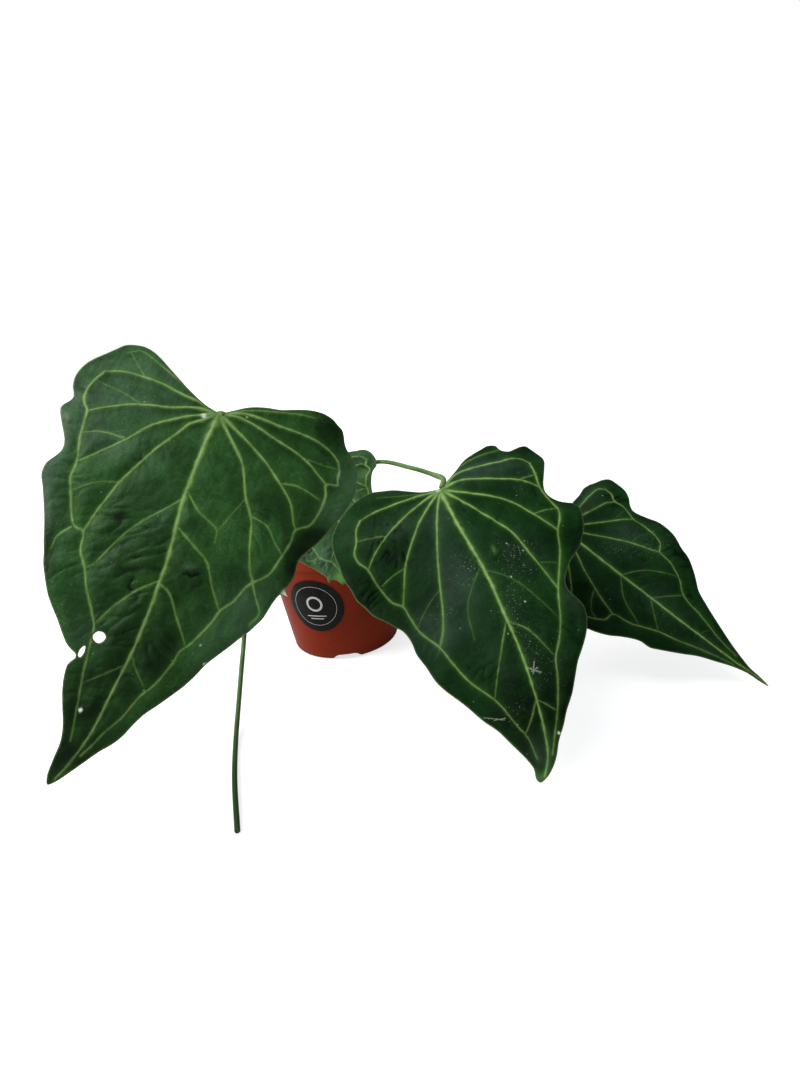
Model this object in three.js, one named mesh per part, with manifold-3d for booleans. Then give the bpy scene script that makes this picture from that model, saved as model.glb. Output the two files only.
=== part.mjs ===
// A potted anthurium: four hanging heart-shaped leaves on long stalks, one cut stalk
// that trails on the table, a short stem, potting mix and a plastic nursery pot.
// Millimetres, +Z up. The pot stands on the table at the origin, the leaves lean to -Y.
import * as THREE from 'three';
import Module from 'manifold-3d';

const wasm = await Module();
wasm.setup();

const CLEARANCE = 0.3;
const DEG = Math.PI / 180;

// Pot
const POT = {
  height: 93,
  footRadius: 40,
  footRound: 4,
  sideRadius: 44,
  taper: 8.5 * DEG,
  wall: 1.3,
  floor: 1.6,
  rimBottom: 80,
  rimStep: 1.6,
  rimRound: 1.2,
  turnSegments: 64,
};
const CHANNEL = {
  firstAngle: -86.4 * DEG,
  count: 4,
  innerRadius: 20,
  bottomWidth: 26.3,
  topWidth: 15.6,
  height: 4.4,
  skin: 1.3,
};
const DRAIN = { radius: 3.4, fromAxis: 26, sides: 14 };
const LABEL = { radius: 22.8, angle: -108.6 * DEG, z: 50, thickness: 0.5, rings: 4, sides: 32 };

// Potting mix and stem
const MIX = { top: 82, relief: 1.5, segments: 44, rings: 9 };
const STEM = { base: 66, holeRadius: 9.4 };
const STEM_PROFILE = [
  [0, 66], [6, 66.5], [8.2, 72], [8.8, 80], [9.4, 86], [9.6, 92], [8.8, 98], [6.4, 103], [3.4, 106],
  [0, 107],
];
const SHEATHS = [
  { angle: 250, lean: 16, height: 29, width: 4.6 },
  { angle: 110, lean: 12, height: 25, width: 4.2 },
  { angle: 335, lean: 22, height: 20, width: 3.8 },
];
const ROOTS = [
  { points: [[0, -6, 92], [-3, -14, 92], [-7, -21, 85], [-9, -24, 76]], radius: 1.6 },
  { points: [[5, 2, 90], [13, 6, 90], [20, 10, 84], [24, 11, 75]], radius: 1.8 },
  { points: [[-4, 5, 90], [-9, 13, 89], [-13, 19, 82], [-14, 22, 74]], radius: 1.5 },
];

// Stalks: way points, then the radius at the foot, along the stalk and at the joint
const STALK_SIDES = 8;
const STALKS = [
  {
    name: 'stalk_1',
    points: [
      [-4.9, -3.4, 86], [-8, -8, 128], [-12, -17, 166], [-19, -52, 187], [-27, -100, 198],
      [-33, -136, 204.6], [-35.2, -147, 207.4],
    ],
    foot: 2.5, shaft: 1.9, joint: 2.3, steps: 26,
  },
  {
    name: 'stalk_2',
    points: [
      [5.9, 1, 86], [8, 3.2, 114.7], [19.5, 1.2, 138.8], [42.4, -14.2, 149.9], [66.5, -45.9, 149],
      [81.2, -66.4, 146.6], [86.6, -75.4, 144.9], [85, -80.2, 141.2],
    ],
    foot: 2.4, shaft: 1.6, joint: 1.95, steps: 28,
  },
  {
    name: 'stalk_3',
    points: [
      [3, -5.2, 86], [10, -6, 100], [32, -8, 109], [70, -16, 113], [115, -32, 113], [152, -48, 105],
      [171, -57, 96.4],
    ],
    foot: 2.4, shaft: 1.6, joint: 2, steps: 26,
  },
  {
    name: 'stalk_4',
    points: [[0.5, 6, 86], [-1, 5, 125], [-1, -8, 148], [-0.3, -22, 151.5], [0.3, -29, 149.6]],
    foot: 2.2, shaft: 1.3, joint: 1.6, steps: 18,
  },
  {
    name: 'stalk_cut',
    points: [
      [-5.2, 3, 86], [-9, 2, 100], [-21, -7, 109], [-41.5, -22, 108], [-57.2, -36, 95],
      [-66, -50, 65], [-70.5, -60, 36], [-70, -84, 20.5], [-67.8, -112, 8.6], [-64, -141, 2.3],
      [-56, -179, 1.9], [-45.2, -219.7, 1.7],
    ],
    foot: 2.4, shaft: 1.8, joint: 1.25, steps: 40,
  },
];

// Leaf blades
// Each blade has its own frame: u across to the right, v along from the stalk to the tip,
// h up from its plane. Outlines are (u, v) from the notch round the right side to the tip
// and back up the left side.
const BLADE_THICKNESS = 0.8;
const SPINE_START = 6;
const SPINE_END_GAP = 9;
const BLADE_BANDS = [1, 0.82, 0.6, 0.38, 0.18, 0.03];
const HOLE_DEPTH = 12;
const BLADES = [
  {
    name: 'blade_1', stalk: 'stalk_1',
    notch: [-35.3, -148.1, 208], tip: [-107.5, -256.7, 68.3], faces: [0.265, -0.823, 0.503],
    bow: 8, droop: 6, half: 75, ripple: 1.8, ripplePitch: 41, rippleStart: 12,
    bends: [[80, 50, 15, -9], [70, -20, 13, -5], [-74, 22, 9, -3]],
    outline: [
      [0, -1], [5, -5], [12, -11], [20, -15], [28, -17.5], [37, -22.5], [43, -25.3], [50, -27],
      [56, -26.5], [60, -24.7], [63.3, -23.3], [65, -20.8], [67.5, -15.5], [69.5, -12.7],
      [72, -10.5], [75, -7.5], [78, -4], [80, 0], [81, 5], [82, 10], [82, 16], [81, 22], [79.7, 28],
      [77.5, 34], [75, 40], [72.5, 46], [70, 51], [68, 56], [66.5, 60], [66.5, 64], [67, 68],
      [66.8, 72], [65.3, 77], [63.5, 81], [62, 85], [61, 90], [60, 95], [58, 99.5], [56, 103.5],
      [53, 108], [50.4, 112.3], [46.7, 118], [43.3, 123.5], [40.8, 129.5], [37.9, 135.5],
      [34, 141.6], [29.8, 147.7], [26.2, 152.6], [23.4, 158.3], [21.4, 163.4], [18.6, 168],
      [14.6, 172.6], [10.5, 178.4], [6.3, 184.3], [2.6, 189.1], [0, 191], [-1.5, 188], [-2, 181],
      [-2.2, 173], [-4, 166.5], [-8, 158.5], [-11, 151.5], [-12.6, 145], [-13.2, 140], [-15, 135.5],
      [-18, 133], [-21, 130], [-25, 125.5], [-30, 120.5], [-34, 116], [-38, 110], [-41, 104],
      [-44, 98.7], [-46, 95], [-48, 91], [-51, 85], [-55, 77.5], [-59, 70], [-62, 65], [-63, 61],
      [-63, 58], [-61.3, 53], [-60.5, 49], [-62, 44], [-64.5, 40], [-68, 35], [-71, 30.5],
      [-72.5, 27.3], [-72, 24.5], [-70.5, 22], [-70, 19.5], [-71, 17], [-73, 14], [-74.5, 10],
      [-75.5, 5], [-75, 0], [-73.5, -5], [-71, -10], [-67, -15.5], [-63, -19.8], [-59, -22.3],
      [-54, -23.5], [-49, -23.4], [-45, -22.3], [-40, -19.8], [-33, -16], [-26, -12], [-19, -8],
      [-12, -4.5], [-6, -2],
    ],
    holes: [
      [[-8.4, 126], [-7, 124.6], [-4.2, 124.3], [-2.4, 126], [-3.4, 128.8], [-5, 130.2], [-7.8, 129.6]],
      [[-16, 137.6], [-11.8, 136.4], [-11.2, 133.6], [-9.7, 132.4], [-8.9, 134.8], [-9.3, 137.6],
        [-10.8, 138.6], [-16, 139.4]],
    ],
  },
  {
    name: 'blade_2', stalk: 'stalk_2',
    notch: [85.6, -81.8, 141], tip: [115.5, -215.9, 10.3], faces: [-0.049, -0.703, 0.71],
    bow: 10, droop: 8, half: 75, ripple: 1.8, ripplePitch: 46, rippleStart: -8,
    bends: [[-82, 2, 15, -5], [74, 66, 12, -5], [74, -14, 12, -3], [50, 106, 9, 2.5]],
    outline: [
      [-2.6, 0.6], [1, -1.6], [5, -5.3], [12, -11.5], [20, -19.2], [28, -23.7], [35, -26.7],
      [40, -28.7], [44.5, -28.2], [46.5, -26.6], [47.2, -24], [49.2, -21.7], [53, -20.3],
      [58, -21.8], [63.2, -23.6], [67.3, -23.6], [70.4, -20.3], [73.5, -15.5], [74.8, -10.6],
      [73.9, -5.4], [70.8, 2], [67.5, 9.2], [64.4, 16.7], [63.7, 22], [65.8, 27.5], [70, 31.7],
      [74, 33.6], [77.5, 35], [79.7, 38.5], [79.6, 43], [78.6, 48], [76.7, 55], [73.3, 61],
      [69.2, 66.5], [64.2, 71], [58.3, 76.7], [53.3, 83.3], [50, 89.2], [49.7, 95], [51.7, 100],
      [54.2, 106], [54.4, 111], [52.5, 117.5], [49.2, 123.3], [44.2, 130], [39.5, 135.8],
      [35, 143.3], [30, 151.7], [24.2, 159.2], [20, 165.8], [15, 172.5], [10.8, 180], [6.7, 185],
      [2.5, 188.3], [-1.4, 189.6], [-2.9, 187.6], [-2.6, 182.5], [-5, 176.7], [-10, 168.3],
      [-15, 160], [-20.8, 153.3], [-28.3, 142.5], [-36.7, 131.7], [-40, 125.8], [-43, 116.7],
      [-46.3, 108.3], [-47.2, 101.7], [-48.5, 97], [-50.8, 92.5], [-54.2, 89], [-59.2, 83.3],
      [-65, 77.5], [-69.2, 70], [-73.3, 63.3], [-75.3, 55.8], [-77.5, 50], [-78.8, 43.3],
      [-79.5, 36.7], [-81, 28.3], [-81.8, 20], [-81.2, 13], [-79, 7], [-75, 1], [-69.5, -4.5],
      [-63.5, -8.8], [-59, -11.8], [-53.5, -13.9], [-47, -14.4], [-40, -12.5], [-31.7, -9.7],
      [-23.3, -5], [-15, -0.8], [-9, 0.4],
    ],
    holes: [],
  },
  {
    name: 'blade_3', stalk: 'stalk_3',
    notch: [172.5, -57.3, 94.5], tip: [280.9, -139.7, 2.8], faces: [0.001, -0.743, 0.669],
    bow: 8, droop: 6, half: 62, ripple: 1.8, ripplePitch: 37, rippleStart: 20,
    bends: [[52, 26, 11, -3.5], [-50, 36, 12, -3]],
    outline: [
      [0, -3], [5, -5], [12, -7], [18, -8.4], [25, -9], [33.3, -9.2], [40, -10.3], [45.8, -9.2],
      [50.3, -7], [56.3, -4.5], [60.8, -0.8], [62, 5], [61.2, 12.4], [56.7, 19.2], [50.8, 24.2],
      [47.6, 28.3], [47.2, 33.5], [48.7, 40], [50.9, 46.7], [50.3, 53.3], [47.5, 60.8], [41.9, 70],
      [38.7, 78.3], [31.7, 86.7], [26.5, 91.5], [21.7, 96], [16.7, 105], [10.8, 118.3], [5.8, 130.8],
      [2.5, 141.7], [0.9, 149.2], [0.8, 156.7], [-0.1, 164.2], [-1.8, 158.3], [-3.3, 149.2],
      [-6.7, 140], [-11.7, 130], [-16.7, 120], [-22.5, 111.7], [-30, 100], [-33, 94.2],
      [-33.7, 86.7], [-39.2, 76.7], [-44.2, 70], [-47.5, 63.3], [-49.2, 57], [-50, 50], [-49.6, 43],
      [-48, 37], [-47.6, 31], [-50, 25], [-54, 19], [-56, 12], [-56, 4], [-53, -4], [-47, -9],
      [-39, -12], [-30, -12.4], [-20, -10.5], [-11, -7.5], [-4, -4.6],
    ],
    holes: [],
  },
  {
    name: 'blade_4', stalk: 'stalk_4',
    notch: [0.5, -30.1, 149.3], tip: [21.8, -86.1, 68.9], faces: [0.029, -0.817, 0.576],
    bow: 6, droop: 5, half: 45, ripple: 1.2, ripplePitch: 27, rippleStart: 4,
    bends: [[36, 14, 7, 3], [-20, 84, 7, 3.5]],
    outline: [
      [0, -2], [6, -7], [13, -10.5], [20, -12], [25, -12], [30, -11.5], [34, -11.4], [37.5, -10],
      [40.3, -7], [41.8, -2], [41.7, 2], [40.2, 7], [36.9, 10.8], [34.2, 15.4], [32, 21.7], [31, 28],
      [30.8, 37], [31, 46], [29, 56], [26, 66], [21.5, 76], [16, 85], [11, 94], [7.5, 101], [5, 103],
      [3.5, 99], [0, 93.5], [-4, 90], [-9, 87], [-12.6, 85.4], [-15.6, 83.4], [-17.6, 80],
      [-20.8, 75.9], [-25, 70.6], [-29.2, 67], [-33.8, 62], [-37, 54], [-37.4, 44], [-36, 35],
      [-36.2, 26], [-38.5, 18], [-41, 10], [-42, 2], [-40.4, -6], [-35.5, -12], [-28, -15],
      [-20, -14], [-12, -11], [-5, -6],
    ],
    holes: [],
  },
];

// Closed solids from points and triangles
function solid(vertices, triangles) {
  return new wasm.Manifold(new wasm.Mesh({
    numProp: 3,
    vertProperties: new Float32Array(vertices.flat()),
    triVerts: new Uint32Array(triangles.flat()),
  }));
}

function revolve(profile, segments) {
  const vertices = [];
  const triangles = [];
  const rows = profile.map(([r, z]) => {
    const start = vertices.length;
    const count = r === 0 ? 1 : segments;
    for (let i = 0; i < count; i += 1) {
      const a = (2 * Math.PI * i) / segments;
      vertices.push([r * Math.cos(a), r * Math.sin(a), z]);
    }
    return { start, count };
  });
  const at = (row, i) => row.start + (row.count === 1 ? 0 : i % segments);
  for (let k = 0; k + 1 < rows.length; k += 1) {
    for (let i = 0; i < segments; i += 1) {
      const [a, b] = [at(rows[k], i), at(rows[k], i + 1)];
      const [c, d] = [at(rows[k + 1], i), at(rows[k + 1], i + 1)];
      if (a !== b) triangles.push([a, b, d]);
      if (c !== d) triangles.push([a, d, c]);
    }
  }
  return solid(vertices, triangles);
}

// A closed solid between two loops of points that run the same way round.
function loft(lower, upper, flat) {
  const n = lower.length;
  const faces = THREE.ShapeUtils.triangulateShape(flat.map(([x, y]) => new THREE.Vector2(x, y)), []);
  const triangles = [];
  faces.forEach(([a, b, c]) => {
    triangles.push([a, c, b]);
    triangles.push([n + a, n + b, n + c]);
  });
  for (let i = 0; i < n; i += 1) {
    const j = (i + 1) % n;
    triangles.push([i, j, n + j]);
    triangles.push([i, n + j, n + i]);
  }
  return solid([...lower, ...upper], triangles);
}

function tube(points, radiusAt, sides, steps) {
  const wayPoints = points.map((p) => new THREE.Vector3(...p));
  const curve = new THREE.CatmullRomCurve3(wayPoints, false, 'catmullrom', 0.5);
  const frames = curve.computeFrenetFrames(steps, false);
  const vertices = [];
  const triangles = [];
  for (let k = 0; k <= steps; k += 1) {
    const s = k / steps;
    const centre = curve.getPointAt(s);
    for (let i = 0; i < sides; i += 1) {
      const a = (2 * Math.PI * i) / sides;
      const p = centre.clone();
      p.addScaledVector(frames.normals[k], radiusAt(s) * Math.cos(a));
      p.addScaledVector(frames.binormals[k], radiusAt(s) * Math.sin(a));
      vertices.push(p.toArray());
    }
  }
  for (let k = 0; k < steps; k += 1) {
    for (let i = 0; i < sides; i += 1) {
      const j = (i + 1) % sides;
      const [a, b] = [k * sides + i, k * sides + j];
      triangles.push([a, b, b + sides]);
      triangles.push([a, b + sides, a + sides]);
    }
  }
  [[0, curve.getPointAt(0)], [steps, curve.getPointAt(1)]].forEach(([k, centre]) => {
    const hub = vertices.length;
    vertices.push(centre.toArray());
    for (let i = 0; i < sides; i += 1) {
      const [a, b] = [k * sides + i, k * sides + ((i + 1) % sides)];
      triangles.push(k === 0 ? [hub, b, a] : [hub, a, b]);
    }
  });
  return solid(vertices, triangles);
}

const smooth = (x) => {
  const t = Math.min(1, Math.max(0, x));
  return t * t * (3 - 2 * t);
};

// The pot's wall, its foot channels and drain holes
const sideRadius = (z) => POT.sideRadius + (z - POT.footRound) * Math.tan(POT.taper);

function channel(grow) {
  const z1 = CHANNEL.height + grow;
  const [b, t] = [CHANNEL.bottomWidth / 2 + grow, CHANNEL.topWidth / 2 + grow];
  const [x0, x1] = [CHANNEL.innerRadius - grow, POT.sideRadius + 8];
  const section = [[-b, -1], [b, -1], [t, z1], [-t, z1]];
  return loft(section.map(([y, z]) => [x0, y, z]), section.map(([y, z]) => [x1, y, z]), section);
}

function channels(grow) {
  const one = channel(grow);
  let all = null;
  for (let i = 0; i < CHANNEL.count; i += 1) {
    const turned = one.rotate([0, 0, (CHANNEL.firstAngle + (i * 2 * Math.PI) / CHANNEL.count) / DEG]);
    all = all ? all.add(turned) : turned;
  }
  return all;
}

function potInside(gap, top) {
  const z0 = POT.floor + gap;
  const inner = (z) => sideRadius(z) - POT.wall - gap;
  return revolve([[0, z0], [POT.footRadius - 1 - gap, z0], [inner(POT.footRound + 2), POT.footRound + 2],
    [inner(40), 40], [inner(top), top], [0, top]], POT.turnSegments);
}

function drainHoles() {
  let all = null;
  for (let i = 0; i < CHANNEL.count; i += 1) {
    const a = CHANNEL.firstAngle + (i * 2 * Math.PI) / CHANNEL.count;
    const ring = [];
    for (let k = 0; k < DRAIN.sides; k += 1) {
      const b = (2 * Math.PI * k) / DRAIN.sides;
      ring.push([DRAIN.fromAxis * Math.cos(a) + DRAIN.radius * Math.cos(b),
        DRAIN.fromAxis * Math.sin(a) + DRAIN.radius * Math.sin(b)]);
    }
    const hole = loft(ring.map(([x, y]) => [x, y, 2]), ring.map(([x, y]) => [x, y, 10]), ring);
    all = all ? all.add(hole) : hole;
  }
  return all;
}

function makePot() {
  const rim = sideRadius(POT.rimBottom) + POT.rimStep;
  const lip = rim + (POT.height - POT.rimBottom) * Math.tan(POT.taper);
  const foot = [0.07, 0.29, 0.62, 1].map((t) => [
    POT.footRadius + POT.footRound * Math.sin((t * Math.PI) / 2),
    POT.footRound * (1 - Math.cos((t * Math.PI) / 2)),
  ]);
  const outer = revolve([[0, 0], [POT.footRadius, 0], ...foot,
    [sideRadius(POT.rimBottom - 1.2), POT.rimBottom - 1.2], [rim, POT.rimBottom],
    [lip - 0.2, POT.height - POT.rimRound], [lip - POT.rimRound, POT.height],
    [lip - POT.wall - POT.rimStep, POT.height], [0, POT.height]], POT.turnSegments);
  const mouthZ = POT.height - 1.4;
  const mouth = revolve([[0, mouthZ - 0.5], [sideRadius(mouthZ - 0.5) - POT.wall, mouthZ - 0.5],
    [sideRadius(mouthZ) - POT.wall, mouthZ], [lip - POT.wall - POT.rimStep, POT.height + 0.01],
    [lip - POT.wall - POT.rimStep, POT.height + 2], [0, POT.height + 2]], POT.turnSegments);
  const hollow = potInside(0, mouthZ).subtract(channels(CHANNEL.skin)).add(mouth);
  return outer.subtract(channels(0)).subtract(hollow).subtract(drainHoles());
}

// The round label lies on the cone of the wall, a hair clear of it.
function makeLabel() {
  const point = (ring, i, out) => {
    const a = (2 * Math.PI * i) / LABEL.sides;
    const rho = (LABEL.radius * ring) / LABEL.rings;
    const z = LABEL.z + rho * Math.sin(a) * Math.cos(POT.taper);
    const r = sideRadius(z) + (CLEARANCE + out) / Math.cos(POT.taper);
    const turn = LABEL.angle + (rho * Math.cos(a)) / r;
    return [r * Math.cos(turn), r * Math.sin(turn), z];
  };
  const vertices = [];
  const layers = [0, LABEL.thickness].map((out) => {
    const start = vertices.length;
    vertices.push(point(0, 0, out));
    for (let ring = 1; ring <= LABEL.rings; ring += 1) {
      for (let i = 0; i < LABEL.sides; i += 1) vertices.push(point(ring, i, out));
    }
    return start;
  });
  const at = (start, ring, i) => (
    ring === 0 ? start : start + 1 + (ring - 1) * LABEL.sides + (i % LABEL.sides));
  const triangles = [];
  layers.forEach((start, side) => {
    const put = (a, b, c) => triangles.push(side === 0 ? [a, c, b] : [a, b, c]);
    for (let i = 0; i < LABEL.sides; i += 1) {
      put(at(start, 0, 0), at(start, 1, i), at(start, 1, i + 1));
      for (let ring = 1; ring < LABEL.rings; ring += 1) {
        put(at(start, ring, i), at(start, ring + 1, i), at(start, ring + 1, i + 1));
        put(at(start, ring, i), at(start, ring + 1, i + 1), at(start, ring, i + 1));
      }
    }
  });
  for (let i = 0; i < LABEL.sides; i += 1) {
    const [a, b] = [at(layers[0], LABEL.rings, i), at(layers[0], LABEL.rings, i + 1)];
    const [c, d] = [at(layers[1], LABEL.rings, i), at(layers[1], LABEL.rings, i + 1)];
    triangles.push([a, b, d]);
    triangles.push([a, d, c]);
  }
  return solid(vertices, triangles);
}

// The potting mix fills the pot, its top a low relief of chunks
function mixTop(x, y) {
  const coarse = Math.sin(0.33 * x + 0.7) * Math.sin(0.29 * y - 0.4);
  const chunks = Math.sin(0.71 * x + 0.4 * y) * Math.sin(0.63 * y - 0.35 * x + 1.1);
  const dome = 2.2 * Math.exp(-(x * x + y * y) / 600);
  return MIX.top + dome + MIX.relief * (0.5 * coarse + 0.5 * chunks);
}

function mixBlank() {
  const high = MIX.top - 6;
  const edge = sideRadius(high) - POT.wall - CLEARANCE - 0.4;
  const vertices = [[0, 0, high]];
  const triangles = [];
  const layer = (heightAt) => {
    const start = vertices.length;
    vertices.push([0, 0, heightAt(0, 0)]);
    for (let ring = 1; ring <= MIX.rings; ring += 1) {
      for (let i = 0; i < MIX.segments; i += 1) {
        const a = (2 * Math.PI * i) / MIX.segments;
        const r = (edge * ring) / MIX.rings;
        vertices.push([r * Math.cos(a), r * Math.sin(a), heightAt(r * Math.cos(a), r * Math.sin(a))]);
      }
    }
    return start;
  };
  const top = layer(mixTop);
  const at = (ring, i) => (ring === 0 ? top : top + 1 + (ring - 1) * MIX.segments + (i % MIX.segments));
  const low = vertices.length;
  for (let i = 0; i < MIX.segments; i += 1) {
    const a = (2 * Math.PI * i) / MIX.segments;
    vertices.push([edge * Math.cos(a), edge * Math.sin(a), high]);
  }
  for (let i = 0; i < MIX.segments; i += 1) {
    const j = (i + 1) % MIX.segments;
    triangles.push([at(0, 0), at(1, i), at(1, i + 1)]);
    for (let ring = 1; ring < MIX.rings; ring += 1) {
      triangles.push([at(ring, i), at(ring + 1, i), at(ring + 1, i + 1)]);
      triangles.push([at(ring, i), at(ring + 1, i + 1), at(ring, i + 1)]);
    }
    triangles.push([low + i, low + j, at(MIX.rings, i + 1)]);
    triangles.push([low + i, at(MIX.rings, i + 1), at(MIX.rings, i)]);
    triangles.push([0, low + j, low + i]);
  }
  return solid(vertices, triangles);
}

function makeMix() {
  const high = MIX.top - 5.5;
  const body = potInside(CLEARANCE, high).subtract(channels(CHANNEL.skin + CLEARANCE)).add(mixBlank());
  const hole = revolve([[0, STEM.base - 1], [STEM.holeRadius, STEM.base - 1],
    [STEM.holeRadius + 0.8, POT.height], [0, POT.height]], 24);
  return ROOTS.reduce((mix, root) => mix.subtract(rootSolid(root, CLEARANCE)), body.subtract(hole));
}

// Stem, sheaths, roots and stalks
function rootSolid(root, grow) {
  return tube(root.points, (s) => root.radius * (1 - 0.25 * s) + grow, 6, grow ? 11 : 10);
}

function sheath({ angle, lean, height, width }) {
  const profile = [[0, 0], [0.9, 2], [1, 8], [0.8, 15], [0.45, height - 4], [0, height]];
  return revolve(profile.map(([r, z]) => [r * width, z]), 12)
    .scale([0.55, 1, 1])
    .rotate([0, lean, 0])
    .translate([6.2, 0, 82])
    .rotate([0, 0, angle]);
}

function stalkRadius({ foot, shaft, joint, name }) {
  const hasJoint = name !== 'stalk_cut';
  return (s) => {
    const base = shaft + (foot - shaft) * (1 - smooth(s / 0.2));
    if (!hasJoint) return base + (joint - shaft) * smooth((s - 0.3) / 0.6);
    return base + (joint - shaft) * smooth((s - 0.86) / 0.07) * (1 - 0.35 * smooth((s - 0.96) / 0.04));
  };
}

function stalkSolid(stalk, grow) {
  const radius = stalkRadius(stalk);
  const points = stalk.points.map((p) => [...p]);
  if (grow > 0) {
    const [a, b] = points.slice(-2).map((p) => new THREE.Vector3(...p));
    const past = b.clone().sub(a).setLength(1.2).add(b);
    points[points.length - 1] = past.toArray();
    points[0][2] -= grow;
  }
  return tube(points, (s) => radius(s) + grow, STALK_SIDES, stalk.steps);
}

function makeStem() {
  const parts = [...SHEATHS.map(sheath), ...ROOTS.map((root) => rootSolid(root, 0))];
  const whole = parts.reduce((body, part) => body.add(part), revolve(STEM_PROFILE, 20));
  return STALKS.reduce((body, stalk) => body.subtract(stalkSolid(stalk, CLEARANCE)), whole);
}

// Points on a blade's bent surface, and the blade as a thin solid
function bladeFrame({ notch, tip, faces }) {
  const origin = new THREE.Vector3(...notch);
  const along = new THREE.Vector3(...tip).sub(origin);
  const length = along.length();
  along.normalize();
  const up = new THREE.Vector3(...faces);
  up.addScaledVector(along, -up.dot(along)).normalize();
  const across = new THREE.Vector3().crossVectors(up, along);
  return { origin, along, up, across, length };
}

function bladeHeight(blade, length, u, v) {
  const q = v / length;
  const bow = 4 * blade.bow * (q < 0 ? q : q * (1 - q));
  const side = (u / blade.half) ** 2;
  const phase = (2 * Math.PI * (v - blade.rippleStart)) / blade.ripplePitch;
  const ripple = blade.ripple * side * Math.sin(phase);
  const bends = blade.bends.map(([bu, bv, reach, rise]) => (
    rise * Math.exp(-((u - bu) ** 2 + (v - bv) ** 2) / (reach * reach))));
  return bow - blade.droop * side + ripple + bends.reduce((a, b) => a + b, 0);
}

function bladePoint(blade, frame, [u, v], lift) {
  const p = frame.origin.clone();
  p.addScaledVector(frame.across, u);
  p.addScaledVector(frame.along, v);
  p.addScaledVector(frame.up, bladeHeight(blade, frame.length, u, v) + lift);
  return p.toArray();
}

// Loops of the outline drawn in towards the midrib, the last one closed by flat triangles.
function makeBlade(blade) {
  const frame = bladeFrame(blade);
  const n = blade.outline.length;
  const flat = [];
  BLADE_BANDS.forEach((f) => blade.outline.forEach(([u, v]) => {
    const w = Math.min(Math.max(v, SPINE_START), frame.length - SPINE_END_GAP);
    flat.push([u * f, w + (v - w) * f]);
  }));
  const faces = [];
  for (let k = 0; k + 1 < BLADE_BANDS.length; k += 1) {
    for (let i = 0; i < n; i += 1) {
      const j = (i + 1) % n;
      faces.push([k * n + i, k * n + j, (k + 1) * n + j]);
      faces.push([k * n + i, (k + 1) * n + j, (k + 1) * n + i]);
    }
  }
  const last = (BLADE_BANDS.length - 1) * n;
  const core = flat.slice(last).map(([u, v]) => new THREE.Vector2(u, v));
  THREE.ShapeUtils.triangulateShape(core, []).forEach((corner) => {
    faces.push(corner.map((i) => last + i));
  });
  const count = flat.length;
  const vertices = [
    ...flat.map((p) => bladePoint(blade, frame, p, 0)),
    ...flat.map((p) => bladePoint(blade, frame, p, -BLADE_THICKNESS)),
  ];
  const triangles = [];
  faces.forEach(([a, b, c]) => {
    triangles.push([a, c, b]);
    triangles.push([count + a, count + b, count + c]);
  });
  for (let i = 0; i < n; i += 1) {
    const j = (i + 1) % n;
    triangles.push([i, j, count + j]);
    triangles.push([i, count + j, count + i]);
  }
  let body = solid(vertices, triangles);
  blade.holes.forEach((hole) => {
    const level = (lift) => hole.map((p) => {
      const q = new THREE.Vector3(...bladePoint(blade, frame, p, 0));
      return q.addScaledVector(frame.up, lift).toArray();
    });
    body = body.subtract(loft(level(HOLE_DEPTH), level(-HOLE_DEPTH), hole));
  });
  return body.subtract(stalkSolid(STALKS.find((s) => s.name === blade.stalk), CLEARANCE));
}

// The whole plant
const material = (color, roughness) => new THREE.MeshStandardMaterial({ color, roughness, metalness: 0 });
const PLASTIC = material(0x8c3a24, 0.45);
const LABEL_FILM = material(0x15181a, 0.3);
const EARTH = material(0x3b2a1e, 0.95);
const BARK_GREEN = material(0x6a6a3c, 0.8);
const STALK_GREEN = material(0x5f8a45, 0.5);
const LEAF_GREEN = material(0x24482a, 0.45);

function meshOf(body, name, look) {
  const { vertProperties, triVerts, numProp } = body.getMesh();
  const positions = new Float32Array((vertProperties.length / numProp) * 3);
  for (let i = 0; i < positions.length / 3; i += 1) {
    for (let k = 0; k < 3; k += 1) positions[3 * i + k] = vertProperties[numProp * i + k];
  }
  const geometry = new THREE.BufferGeometry();
  geometry.setAttribute('position', new THREE.BufferAttribute(positions, 3));
  geometry.setIndex(new THREE.BufferAttribute(new Uint32Array(triVerts), 1));
  const mesh = new THREE.Mesh(geometry, look);
  mesh.name = name;
  return mesh;
}

const plant = new THREE.Group();
plant.name = 'potted_anthurium';
plant.add(meshOf(makePot(), 'pot', PLASTIC));
plant.add(meshOf(makeLabel(), 'pot_label', LABEL_FILM));
plant.add(meshOf(makeMix(), 'potting_mix', EARTH));
plant.add(meshOf(makeStem(), 'stem', BARK_GREEN));
STALKS.forEach((stalk) => plant.add(meshOf(stalkSolid(stalk, 0), stalk.name, STALK_GREEN)));
BLADES.forEach((blade) => plant.add(meshOf(makeBlade(blade), blade.name, LEAF_GREEN)));

export default plant;
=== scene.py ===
"""A potted anthurium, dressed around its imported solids.

Four hanging, boldly veined leaf blades on long stalks, one cut stalk that trails on the table, a
short stem with papery sheaths and aerial roots, the potting mix and a thin plastic nursery pot.
Shapes are worked out in millimetres in the frame of the solids and written to meshes in metres.
"""

import math

import bpy
import numpy as np
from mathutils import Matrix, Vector, noise
from mathutils.geometry import delaunay_2d_cdt


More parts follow.
